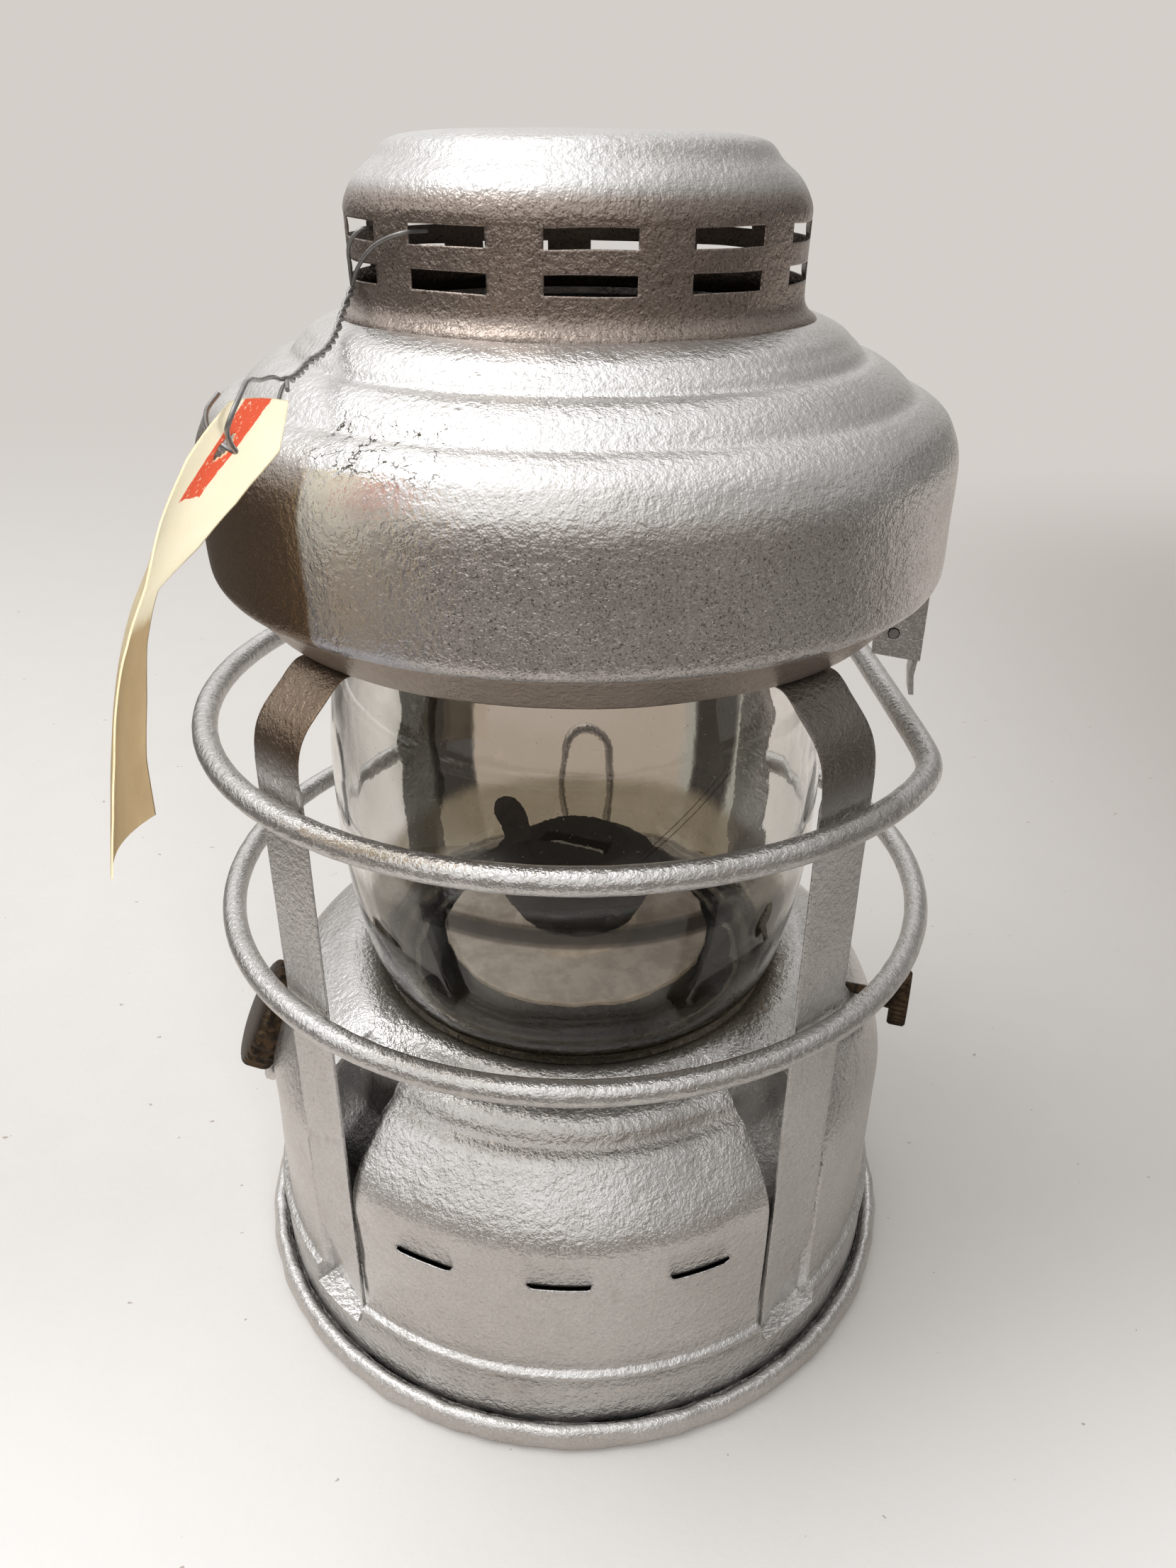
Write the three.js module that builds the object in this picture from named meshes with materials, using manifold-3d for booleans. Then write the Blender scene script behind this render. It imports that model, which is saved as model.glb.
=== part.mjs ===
// A squat oil lantern for a vehicle or a road, pressed from sheet steel and painted silver.
// A base with the oil tank inside carries four straps, two guard rings and a clear globe.
// A stepped hood with a slotted chimney is hinged on top of the cage and held by a sprung latch.
// Lengths are in millimetres and angles in degrees. Z is up, the origin is on the table under
// the lantern's middle, and the front, where azimuth is 0, looks along -Y. Azimuth grows towards +X.

import * as THREE from 'three';
import { mergeVertices } from 'three/addons/utils/BufferGeometryUtils.js';
import Module from 'manifold-3d';

const wasm = await Module();
wasm.setup();

// Common sizes
const clearance = 0.3; // between neighbouring solids
const sheet = 1.1; // pressed sheet steel
const plate = 1.2; // flat brackets and plates
const overrun = 3; // how far a cutting tool runs past what it cuts

// Guard cage
const ringRadius = 92; // centre line of both guard rings
const ringWire = 6;
const upperRingShare = 0.741; // how high it sits between the base's collar and the cage's top ring
const lowerRingShare = 0.243;
const ringFlatDepth = 12.8; // the upper ring is knocked in by this much on its right side
const ringFlatAzimuth = 92;
const ringFlatBlend = 2.2; // how softly the flat runs into the round
const ringGap = 0.5; // between the rings and the corners of the straps
const cageTurn = -3; // the whole cage sits turned by this much
const strapSpread = 42; // each strap stands this far from the middle of the front or the back
const strapWidth = 16.5;
const strapThickness = 1.8;
const strapFoot = 20; // height of the strap's pointed tip
const strapFootSlant = 22; // how much higher its outer edge ends
const strapBend = 11.8; // height of the bend at the strap's upper end
const strapTabReach = 11; // length of the tab under the cage's top ring
const rivetShank = 3; // diameter
const rivetHead = 5.4;
const rivetHeadHeight = 1.1;

// Base: a pan with a rolled rim and the pressed shell that stands in it
const beadWidth = 4.6;
const beadHeight = 7.6;
const panRise = 1.6; // the pan's floor stands this far off the table
const panStep = 7; // width of the slope from the rim to the floor
const bandHeight = 22; // plain lower band
const bandStep = 1.5; // the band stands out this far from the wall above it
const bandBevel = 3;
const wallProud = 0.4; // the wall lies this far outside the strap's face
const shoulderHeight = 65; // where the front wall turns into the dome
const collarHeight = 93.2; // edge of the dome round the globe
const collarRadius = 54.2;
const channelEdge = 1.2; // width of the step beside each strap
const louvreWidth = 17;
const louvreHeight = 11;
const louvreDepth = 2.5;
const louvreSlit = 53.5; // height of the slits
const louvrePitch = 22.6;
const louvreCentre = -2.4;
const louvreCount = 3;

// Oil tank and filler
const tankGap = 14; // between the tank's side and the pockets of the shell
const tankSide = 60; // height of the side wall's top
const tankTop = 72;
const tankTopRadius = 50;
const tankWall = 1;
const fillerAzimuth = -82;
const fillerTilt = 27; // above the horizontal
const fillerOut = 0.1; // the middle of the cap stands this far outside the wall
const fillerHeight = 75;
const capRadius = 15.5;
const capDepth = 9;
const capFace = 2.2; // thickness of the cap's face
const capFlutes = 24;
const capFluteDepth = 0.8;
const capCrown = 0.8;
const neckRadius = 11;
const neckWall = 1.4;
const neckLength = 28;
const gasketThickness = 1.1;
const collarPlateRadius = 17.5;
const collarPlateThickness = 2;
const capThreadPitch = 3;

// Burner and wick
const burnerSeatRadius = 19;
const burnerBore = 15.2;
const burnerSeatHeight = 5.4;
const burnerCupRadius = 20;
const burnerPlateRadius = 37.5;
const burnerPlateHeight = 100;
const burnerPlateRim = 2.2;
const burnerBossRadius = 18;
const burnerBossHeight = 6;
const flameHoodRadius = 23.5;
const flameHoodHeight = 126;
const flameHoodRim = 117.5;
const flameSlotLength = 20;
const flameSlotWidth = 7;
const tabWidth = 6;
const tabLength = 15;
const tabLean = 24; // from the vertical
const tabAzimuth = -92;
const wickWidth = 15.6;
const wickThickness = 2.4;
const wickTubeWall = 0.8;
const wickTubeFoot = 64;
const wickTubeTop = 121;
const wickAboveTube = 2.5;
const wickFoot = 12;
const winderAzimuth = 71.5;
const winderOffset = 6.5; // the shaft passes this far beside the wick's middle
const winderHeight = 89.5;
const winderShaft = 3; // diameter
const winderOut = 2.9; // the shaft ends this far outside the wall
const winderTail = 14; // how far the shaft runs past the middle
const knobRadius = 7.8;
const knobThickness = 5;
const knobFlutes = 20;
const knobFluteDepth = 0.5;
const wheelTeeth = 8;
const wheelThickness = 1.2;
const wheelSpread = 9;

// Globe
const globeSet = 1.7; // the globe stands this far below the edge of the collar
const globeGap = 1.7; // between the globe and the hood's floor
const globeRadius = 63.3;
const globeWall = 2.8;
const seatWidth = 9; // radial width of the globe's seat

// Cage top ring, hood and chimney
const topRingHeight = 199.3; // underside of the ring's flange
const topRingIn = 10.5; // the ring's foot lies this far inside the hood's wall
const topRingWidth = 8.9; // its flat flange
const topRingRise = 9; // its cone, up to the hood's hem
const hoodRadius = 85.4;
const hoodWall = 24.7; // height of the upright wall
const hoodHem = 2.4; // the hem is turned in by this much
const hoodHemHeight = 4.6;
const rippleShareA = 0.691; // outer edge of the middle ripple, from the chimney to the wall
const rippleRiseA = 39.5; // above the hem, as are the next three
const rippleShareB = 0.385; // outer edge of the inner ripple
const rippleRiseB = 46.2;
const neckRise = 54.2;
const floorRise = 2.9;
const chimneyRadius = 49;
const chimneyHeight = 34.5;
const crownIn = 10.1; // the flat top ends this far inside the chimney's wall
const crownGrooveIn = 6.1;
const slotCount = 11;
const slotHeight = 3.5;
const slotAngle = 20;
const slotFirst = 2.7; // azimuth of the slot at the front
const slotDrop = 17.8; // the upper row lies this far below the top
const slotPitch = 7.7; // from one row to the other
const floorBore = 40; // hole in the hood's floor plate
const flueHeight = 42.4;
const flueTopRadius = 31;

// Hood hinge
const hingeAzimuth = -100;
const hingeOut = 3; // the pin lies this far outside the hood's wall
const hingeRise = 0.7; // and this far above its hem
const hingePin = 3; // diameter
const hingeKnuckle = 5.2; // diameter
const hingeWidth = 22;
const hingeMiddle = 8;
const hingeLeafHeight = 13;

// Latch
const latchAzimuth = 80;
const latchPivotOut = 1.6; // the pin lies this far outside the foot of the top ring
const latchPivotDrop = 5.3; // and this far below it
const latchPin = 2.4; // diameter
const latchWidth = 12;
const latchFlangeOut = 0.4; // the lever's flange stands this far outside the hem
const latchFlangeRise = 12.5; // the flange's top above the pin
const latchFlangeDrop = 6.5; // and its foot below the pin
const latchTongueLength = 9.8;
const latchTongueWidth = 7;
const latchHookRise = 4.7; // the hook reaches this far above the hem
const latchHookSet = 1.4; // the hook stands this far inside the flange
const latchSideDepth = 11.4;
const latchEarWidth = 6;
const latchSpringTurns = 3;
const latchSpringWire = 0.8;
const latchSpringRadius = 2.5;

// Rear hanger of thin wire
const hangerWire = 3.2;
const hangerFoot = 71.5;
const hangerTop = 118;
const hangerGap = 16.4; // between the centre lines of the legs
const hangerCentre = 3.5;
const hangerBend = 6;

// Tag and its tie wire. The wire is tied through two slots of the chimney, twisted together and
// looped through the tag's hole. Its route follows the wire as it hangs.
const tagLength = 82.5;
const tagWidth = 41;
const tagThickness = 0.6;
const tagCurl = 2.6; // depth of its curl across the width
const tagClip = 9.5; // cut corners at the upper end
const tagHole = 6; // diameter
const tieWire = 1;
const tieTwist = 2.2; // diameter of the two wires twisted together
// Points of the routes, their heights measured from the middle of the upper slots
const strandRoutes = [
  [[-38.6, -23.4, 0.2], [-42.4, -26.7, 0], [-44.9, -25.4, -2.8], [-45.5, -23, -6.8], [-45.6, -20.3, -9.8]],
  [[-28.4, -35.1, 0.4], [-32.6, -39.2, 0.2], [-38.4, -35.2, -2.2], [-43, -28.8, -6.6], [-45.6, -20.3, -9.8]],
];
const wireRoute = [
  [-45.7, -21, -10.8], [-46.7, -28, -14.7], [-47.3, -36, -18.3], [-48.4, -42, -20.3], [-49.9, -48, -21.1],
  [-50.5, -54, -22], [-51.3, -60, -22.5], [-52, -67, -20.9], [-52.4, -76, -19.9], [-50.4, -88, -17.9],
  [-49.2, -97.1, -17.4], [-49.8, -102.8, -20.1], [-50.9, -102.8, -22.4], [-54, -89.7, -28.6], [-56.6, -86.8, -28.2],
  [-58.6, -86.3, -26.6], [-59.2, -84.6, -23.5], [-57.4, -82.7, -20.8],
];
const wireTail = 3; // points of the route beyond the hole

// Facets
const roundSides = 34;
const chimneySides = 33; // three to each slot
const globeSides = 24;
const smallSides = 18;
const hingeSides = 12;
const tinySides = 8;

const up = new THREE.Vector3(0, 0, 1);
const rad = THREE.MathUtils.degToRad;

// Colours and finishes
function finish(colour, roughness, metalness) {
  return new THREE.MeshStandardMaterial({ color: colour, roughness, metalness });
}
const silverPaint = () => finish(0xb4b3b1, 0.45, 0.6);
const darkBrass = () => finish(0x5a4630, 0.5, 0.7);
const sootyBrass = () => finish(0x2a2622, 0.6, 0.5);
const dullBrass = () => finish(0x8d7f6c, 0.55, 0.5);
const plainSteel = () => finish(0x8c8c8c, 0.4, 0.8);
const clearGlass = () => {
  const glass = finish(0xd8dcd6, 0.05, 0);
  glass.transparent = true;
  glass.opacity = 0.35;
  return glass;
};
const corkGasket = () => finish(0x8a6a45, 0.9, 0);
const cottonWick = () => finish(0xd8cfb8, 0.95, 0);
const creamCard = () => finish(0xe6d7ab, 0.8, 0);

const lantern = new THREE.Group();

// Helpers for geometry

// Merges shared corners, drops slivers and turns the faces outward.
function closed(source) {
  const bare = source.clone();
  bare.deleteAttribute('normal');
  bare.deleteAttribute('uv');
  const merged = mergeVertices(bare);
  const corners = merged.index.array;
  const place = merged.attributes.position;
  const kept = [];
  const a = new THREE.Vector3();
  const b = new THREE.Vector3();
  const c = new THREE.Vector3();
  let volume = 0;
  for (let i = 0; i < corners.length; i += 3) {
    const [p, q, r] = [corners[i], corners[i + 1], corners[i + 2]];
    if (p === q || q === r || r === p) continue;
    kept.push(p, q, r);
    a.fromBufferAttribute(place, p);
    b.fromBufferAttribute(place, q);
    c.fromBufferAttribute(place, r);
    volume += a.dot(b.cross(c));
  }
  if (volume < 0) kept.reverse();
  const result = new THREE.BufferGeometry();
  result.setAttribute('position', place.clone());
  result.setIndex(kept);
  return result;
}

function toSolid(geometry) {
  const shape = closed(geometry);
  return new wasm.Manifold(new wasm.Mesh({
    numProp: 3,
    vertProperties: new Float32Array(shape.attributes.position.array),
    triVerts: new Uint32Array(shape.index.array),
  }));
}

function toGeometry(solid) {
  const mesh = solid.getMesh();
  const geometry = new THREE.BufferGeometry();
  const points = new Float32Array(mesh.numVert * 3);
  for (let i = 0; i < mesh.numVert; i += 1) {
    for (let k = 0; k < 3; k += 1) points[i * 3 + k] = mesh.vertProperties[i * mesh.numProp + k];
  }
  geometry.setAttribute('position', new THREE.BufferAttribute(points, 3));
  geometry.setIndex([...mesh.triVerts]);
  return geometry;
}

function cut(geometry, ...tools) {
  return toGeometry(tools.reduce((solid, tool) => solid.subtract(toSolid(tool)), toSolid(geometry)));
}

function keep(geometry, tool) {
  return toGeometry(toSolid(geometry).intersect(toSolid(tool)));
}

function join(first, ...others) {
  return toGeometry(others.reduce((solid, other) => solid.add(toSolid(other)), toSolid(first)));
}

// Turns an outline of [radius, height] about Z. It closes on itself or ends on the axis.
function revolve(outline, sides) {
  const points = outline.map(([radius, height]) => new THREE.Vector2(radius, height));
  const onAxis = outline[0][0] === 0 && outline[outline.length - 1][0] === 0;
  if (!onAxis) points.push(points[0].clone());
  return closed(new THREE.LatheGeometry(points, sides).rotateX(Math.PI / 2));
}

function tube(outer, inner, low, high, sides) {
  return revolve([[inner, low], [outer, low], [outer, high], [inner, high]], sides);
}

function rod(radius, low, high, sides) {
  return revolve([[0, low], [radius, low], [radius, high], [0, high]], sides);
}

function block(width, depth, height) {
  return new THREE.BoxGeometry(width, depth, height);
}

// Extrudes an outline of [distance from the axis, height] across its plane.
// The result faces azimuth 0, with its width along X.
function slab(outline, width) {
  const shape = new THREE.Shape(outline.map(([radius, height]) => new THREE.Vector2(radius, height)));
  const geometry = new THREE.ExtrudeGeometry(shape, { depth: width, bevelEnabled: false });
  geometry.translate(0, 0, -width / 2);
  const basis = new THREE.Matrix4().makeBasis(
    new THREE.Vector3(0, -1, 0),
    new THREE.Vector3(0, 0, 1),
    new THREE.Vector3(-1, 0, 0),
  );
  return closed(geometry.applyMatrix4(basis));
}

// Extrudes an outline of [x, z] along Y, from y = near to y = far.
function panel(outline, near, far) {
  const shape = new THREE.Shape(outline.map(([x, z]) => new THREE.Vector2(x, z)));
  const geometry = new THREE.ExtrudeGeometry(shape, { depth: far - near, bevelEnabled: false });
  return closed(geometry.rotateX(Math.PI / 2).translate(0, far, 0));
}

// Offsets an open line of [radius, height] to one side by a thickness and closes it.
function strip(line, thickness) {
  const normals = [];
  for (let i = 0; i + 1 < line.length; i += 1) {
    const run = new THREE.Vector2(line[i + 1][0] - line[i][0], line[i + 1][1] - line[i][1]).normalize();
    normals.push(new THREE.Vector2(run.y, -run.x));
  }
  const back = line.map(([radius, height], i) => {
    const before = normals[Math.max(i - 1, 0)];
    const after = normals[Math.min(i, normals.length - 1)];
    const mitre = before.clone().add(after).normalize();
    const reach = thickness / mitre.dot(after);
    return [radius + mitre.x * reach, height + mitre.y * reach];
  });
  return [...line, ...back.reverse()];
}

function polar(radius, azimuth, height) {
  const angle = rad(azimuth);
  return new THREE.Vector3(radius * Math.sin(angle), -radius * Math.cos(angle), height);
}

function turned(geometry, azimuth) {
  return geometry.clone().rotateZ(rad(azimuth));
}

class WirePath extends THREE.Curve {
  constructor(place) {
    super();
    this.place = place;
  }

  getPoint(t) {
    return this.place(t);
  }
}

// A round wire along a path, with flat ends.
function wire(path, diameter, steps, sides) {
  const section = new THREE.Shape();
  for (let i = 0; i < sides; i += 1) {
    const angle = (2 * Math.PI * i) / sides;
    const [x, y] = [diameter / 2 * Math.cos(angle), diameter / 2 * Math.sin(angle)];
    if (i === 0) section.moveTo(x, y);
    else section.lineTo(x, y);
  }
  section.closePath();
  return closed(new THREE.ExtrudeGeometry(section, { steps, extrudePath: path, bevelEnabled: false }));
}

// A round outline with shallow flutes, as an extruded disc along Z from low to high.
function flutedDisc(radius, depth, flutes, low, high) {
  const shape = new THREE.Shape();
  for (let i = 0; i < flutes * 2; i += 1) {
    const angle = (Math.PI * i) / flutes;
    const reach = i % 2 ? radius - depth : radius;
    if (i === 0) shape.moveTo(reach, 0);
    else shape.lineTo(reach * Math.cos(angle), reach * Math.sin(angle));
  }
  const geometry = new THREE.ExtrudeGeometry(shape, { depth: high - low, bevelEnabled: false });
  return closed(geometry.translate(0, 0, low));
}

function add(parent, name, geometry, material) {
  const mesh = new THREE.Mesh(geometry, material);
  mesh.name = name;
  parent.add(mesh);
  return mesh;
}

// A group turned about Z, in which azimuth 0 faces the given azimuth.
function facing(azimuth) {
  const group = new THREE.Group();
  group.rotation.z = rad(azimuth);
  lantern.add(group);
  return group;
}

// Sizes that follow from the ones above

const ringInside = ringRadius - ringWire / 2;
const strapReach = ringInside - ringGap; // furthest corner of a strap
const strapFace = Math.sqrt(strapReach ** 2 - (strapWidth / 2) ** 2);
const wallRadius = strapFace + wallProud;
const bandRadius = wallRadius + bandStep;
const beadInside = bandRadius + clearance * 2;
const beadRadius = beadInside + beadWidth;
const channelRadius = strapFace - strapThickness - clearance;
const strapAngles = {
  front_left: cageTurn - strapSpread,
  front_right: cageTurn + strapSpread,
  rear_right: cageTurn + 180 - strapSpread,
  rear_left: cageTurn + 180 + strapSpread,
};
const tankRadius = channelRadius - tankGap;
const fillerRadius = wallRadius + fillerOut; // from the lantern's middle to the middle of the cap
const winderEnd = wallRadius + winderOut; // outer end of the shaft along its own line
const upperRingHeight = collarHeight + (topRingHeight - collarHeight) * upperRingShare;
const lowerRingHeight = collarHeight + (topRingHeight - collarHeight) * lowerRingShare;
const ringFlatDistance = ringRadius - ringFlatDepth;
const strapElbow = topRingHeight - strapBend; // where the strap starts to bend inward
const topRingRadius = hoodRadius - topRingIn;
const topRingBore = topRingRadius - topRingWidth;
const hoodFoot = topRingHeight + topRingRise; // lowest edge of the hood's hem
const hoodHemRadius = hoodRadius - hoodHem;
const hoodWallTop = hoodFoot + hoodWall;
const rippleHeightA = hoodFoot + rippleRiseA;
const rippleHeightB = hoodFoot + rippleRiseB;
const chimneyFoot = hoodFoot + neckRise;
const neckOuter = chimneyRadius + sheet;
const rippleRadiusA = neckOuter + (hoodRadius - neckOuter) * rippleShareA;
const rippleRadiusB = neckOuter + (hoodRadius - neckOuter) * rippleShareB;
const crownHeight = chimneyFoot + chimneyHeight;
const crownRadius = chimneyRadius - crownIn;
const crownGrooveRadius = chimneyRadius - crownGrooveIn;
const slotUpper = crownHeight - slotDrop;
const slotLower = slotUpper - slotPitch;
const floorHeight = hoodFoot + floorRise;
const flueTop = floorHeight + sheet + clearance + flueHeight;
const globeFoot = collarHeight - globeSet;
const globeTop = floorHeight - globeGap;
const hingeRadius = hoodRadius + hingeOut;
const hingeHeight = hoodFoot + hingeRise;
const latchPivotRadius = topRingRadius + latchPivotOut;
const latchPivotHeight = topRingHeight - latchPivotDrop;
const latchFlangeRadius = hoodHemRadius + latchFlangeOut;
const latchFlangeTop = latchPivotHeight + latchFlangeRise;
const latchFlangeFoot = latchPivotHeight - latchFlangeDrop;
const latchTongueFoot = latchFlangeFoot - latchTongueLength;
const latchHookTop = hoodFoot + latchHookRise;
const tabHeight = topRingHeight - clearance; // upper face of the straps' tabs
const tabEnd = topRingRadius + strapThickness;

// Base pan: the rolled rim, a slope and a flat floor
function basePan() {
  const rimFoot = beadInside - panStep;
  const roundShare = 0.3; // how much of the bead's width and height its corners round off
  const side = beadWidth * roundShare;
  return revolve([
    [0, panRise],
    [rimFoot - panRise, panRise],
    [rimFoot, 0],
    [beadRadius - side, 0],
    [beadRadius, side],
    [beadRadius, beadHeight - side],
    [beadRadius - side, beadHeight],
    [beadInside, beadHeight - side],
    [beadInside, plate],
    [rimFoot + plate / 2, plate],
    [rimFoot - panRise + plate / 2, panRise + plate],
    [0, panRise + plate],
  ], roundSides);
}

// Dome of the base: each row is [share of the way in from the wall to the collar,
// share of the way up from the shoulder to the collar]
const frontDomeShares = [[0, 0], [0.045, 0.11], [0.24, 0.41], [0.42, 0.66], [0.55, 0.8], [0.73, 0.9], [0.88, 1.01]];
const sideDomeShares = [[0.03, 0.28], [0.09, 0.64], [0.22, 0.84], [0.46, 1.03], [0.66, 1.13], [0.8, 1.13], [0.93, 1.07]];
const pocketDomeShares = [[0.075, -0.05], [0.24, 0.16], [0.41, 0.37], [0.55, 0.58], [0.65, 0.72], [0.75, 0.88], [0.9, 1.01]];

function domeRows(shares) {
  const inward = wallRadius - collarRadius;
  const upward = collarHeight - shoulderHeight;
  return shares.map(([across, above]) => [wallRadius - inward * across, shoulderHeight + upward * above]);
}

// Outline of the base shell's outside at one azimuth, from its foot up to the collar
function shellOutline(kind) {
  const inChannel = kind === 'pocket';
  const wall = inChannel ? channelRadius : wallRadius;
  const shares = { front: frontDomeShares, side: sideDomeShares, pocket: pocketDomeShares }[kind];
  return [
    [bandRadius, panRise + plate],
    [bandRadius, inChannel ? strapFoot - bandBevel : bandHeight],
    [wall, inChannel ? strapFoot - clearance : bandHeight + bandBevel],
    ...domeRows(shares),
    [collarRadius, collarHeight],
  ];
}

// The same outline moved inward by the sheet's thickness
function shellInside(outline) {
  return outline.map((point, i) => {
    const before = outline[Math.max(i - 1, 0)];
    const after = outline[Math.min(i + 1, outline.length - 1)];
    const run = new THREE.Vector2(after[0] - before[0], after[1] - before[1]).normalize();
    return [point[0] - run.y * sheet, point[1] + run.x * sheet];
  });
}

// Azimuths at which the shell's outline is set out. Inside, the steps beside the straps
// stand further apart by the sheet's thickness.
function shellStations(widen) {
  const edge = THREE.MathUtils.radToDeg(channelEdge / wallRadius);
  const half = THREE.MathUtils.radToDeg((strapWidth / 2 + clearance) / channelRadius);
  const extra = THREE.MathUtils.radToDeg(widen / wallRadius);
  const panelSteps = 4;
  const { front_left: a, front_right: b, rear_right: c, rear_left: d } = strapAngles;
  const spans = [[a, b, 'front'], [b, c, 'side'], [c, d, 'front'], [d, a + 360, 'side']];
  const stations = [];
  for (const [from, to, kind] of spans) {
    const start = from + half + edge + extra;
    const end = to - half - edge - extra;
    stations.push([from, 'pocket'], [from + half + extra, 'pocket']);
    for (let i = 0; i <= panelSteps; i += 1) {
      stations.push([start + ((end - start) * i) / panelSteps, kind]);
    }
    stations.push([to - half - extra, 'pocket']);
  }
  return stations;
}

function baseShell() {
  const skins = [0, sheet].map((widen) => shellStations(widen).map(([azimuth, kind]) => {
    const outline = shellOutline(kind);
    const line = widen ? shellInside(outline) : outline;
    return line.map(([radius, height]) => polar(radius, azimuth, height));
  }));
  const [outer, inner] = skins;
  const columns = outer.length;
  const rows = outer[0].length;
  const points = [];
  const faces = [];
  for (const skin of skins) {
    for (const column of skin) {
      for (const point of column) points.push(point.x, point.y, point.z);
    }
  }
  const at = (skin, column, row) => skin * columns * rows + (column % columns) * rows + row;
  const quad = (p, q, r, s) => faces.push(p, q, r, p, r, s);
  for (let i = 0; i < columns; i += 1) {
    for (let j = 0; j + 1 < rows; j += 1) {
      quad(at(0, i, j), at(0, i + 1, j), at(0, i + 1, j + 1), at(0, i, j + 1));
      quad(at(1, i, j), at(1, i, j + 1), at(1, i + 1, j + 1), at(1, i + 1, j));
    }
    quad(at(0, i, 0), at(1, i, 0), at(1, i + 1, 0), at(0, i + 1, 0));
    const top = rows - 1;
    quad(at(0, i, top), at(0, i + 1, top), at(1, i + 1, top), at(1, i, top));
  }
  const shell = new THREE.BufferGeometry();
  shell.setAttribute('position', new THREE.Float32BufferAttribute(points, 3));
  shell.setIndex(faces);
  return shell;
}

// A louvre is a lip pressed inward above a slit.
function louvre(azimuth) {
  const half = louvreWidth / 2;
  const front = Math.sqrt(wallRadius ** 2 - half ** 2) - sheet / 2;
  const lip = wallRadius - louvreDepth;
  const top = louvreSlit + louvreHeight;
  const bulge = slab([
    [front, top], [lip - sheet, louvreSlit], [front, louvreSlit],
  ], louvreWidth + sheet);
  const hollow = slab([
    [wallRadius + overrun, top], [wallRadius, top - sheet], [lip, louvreSlit - sheet / 2],
    [wallRadius + overrun, louvreSlit - sheet / 2],
  ], louvreWidth - sheet);
  return { bulge: turned(bulge, azimuth), hollow: turned(hollow, azimuth) };
}

// Places a geometry made along Z on the filler's axis, with the cap's middle at zero.
function onFiller(geometry) {
  return geometry.clone()
    .rotateX(rad(90 - fillerTilt))
    .translate(0, -fillerRadius, fillerHeight)
    .rotateZ(rad(fillerAzimuth));
}

// Places a geometry made along Z on the winder's axis, where its middle is beside the wick.
function onWinder(geometry) {
  return geometry.clone()
    .rotateX(Math.PI / 2)
    .translate(winderOffset, 0, winderHeight)
    .rotateZ(rad(winderAzimuth));
}

function buildBase() {
  add(lantern, 'base_pan', basePan(), silverPaint());

  let shell = baseShell();
  for (let i = 0; i < louvreCount; i += 1) {
    const azimuth = louvreCentre + louvrePitch * (i - (louvreCount - 1) / 2);
    const { bulge, hollow } = louvre(azimuth);
    shell = cut(join(shell, bulge), hollow);
  }
  const plateBack = -(capDepth / 2 + clearance * 2 + collarPlateThickness);
  const spotFace = onFiller(rod(collarPlateRadius + clearance, plateBack - clearance, capDepth * 2, smallSides));
  const neckHole = onFiller(rod(neckRadius + clearance, -neckLength, 0, smallSides));
  const shaftHole = onWinder(rod(winderShaft / 2 + louvreDepth, burnerCupRadius, winderEnd, tinySides));
  add(lantern, 'base_shell', cut(shell, spotFace, neckHole, shaftHole), silverPaint());
}

function buildTank() {
  const floor = panRise + plate + clearance;
  const bore = burnerBore;
  const outside = [
    [bore, tankTop], [tankTopRadius, tankTop], [tankRadius, tankSide], [tankRadius, floor], [0, floor],
  ];
  const inside = [
    [0, floor + tankWall], [tankRadius - tankWall, floor + tankWall],
    [tankRadius - tankWall, tankSide - tankWall / 2], [tankTopRadius, tankTop - tankWall * 1.2],
    [bore, tankTop - tankWall],
  ];
  const drum = revolve([...outside.slice().reverse(), ...inside.slice().reverse()], globeSides);
  const neckHole = onFiller(rod(neckRadius + clearance, -neckLength - overrun, -neckLength / 2, smallSides));
  add(lantern, 'fuel_tank', cut(drum, neckHole), plainSteel());
}

function buildFiller() {
  const capBack = -capDepth / 2;
  const capFront = capDepth / 2;
  const mouth = capFront - capFace - gasketThickness - clearance * 2;
  const neck = tube(neckRadius, neckRadius - neckWall, -neckLength, mouth, smallSides);
  add(lantern, 'filler_neck', onFiller(neck), silverPaint());

  const front = capBack - clearance * 2;
  const ring = tube(collarPlateRadius, neckRadius + clearance, front - collarPlateThickness, front, smallSides);
  add(lantern, 'filler_collar', onFiller(ring), silverPaint());

  const seal = tube(neckRadius, neckRadius - neckWall * 2, mouth + clearance, mouth + clearance + gasketThickness,
    smallSides);
  add(lantern, 'filler_gasket', onFiller(seal), corkGasket());

  const drumCap = flutedDisc(capRadius, capFluteDepth, capFlutes, capBack, capFront - capCrown);
  const hollow = rod(neckRadius + clearance * 2, capBack - overrun, capFront - capFace, smallSides);
  const domeShare = 0.9;
  const domeTop = revolve([
    [0, capFront - capFace], [capRadius * domeShare, capFront - capFace],
    [capRadius * domeShare, capFront - capCrown], [capRadius / 2, capFront], [0, capFront],
  ], smallSides);
  add(lantern, 'filler_cap', onFiller(cut(join(drumCap, domeTop), hollow)), darkBrass());
}

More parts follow.
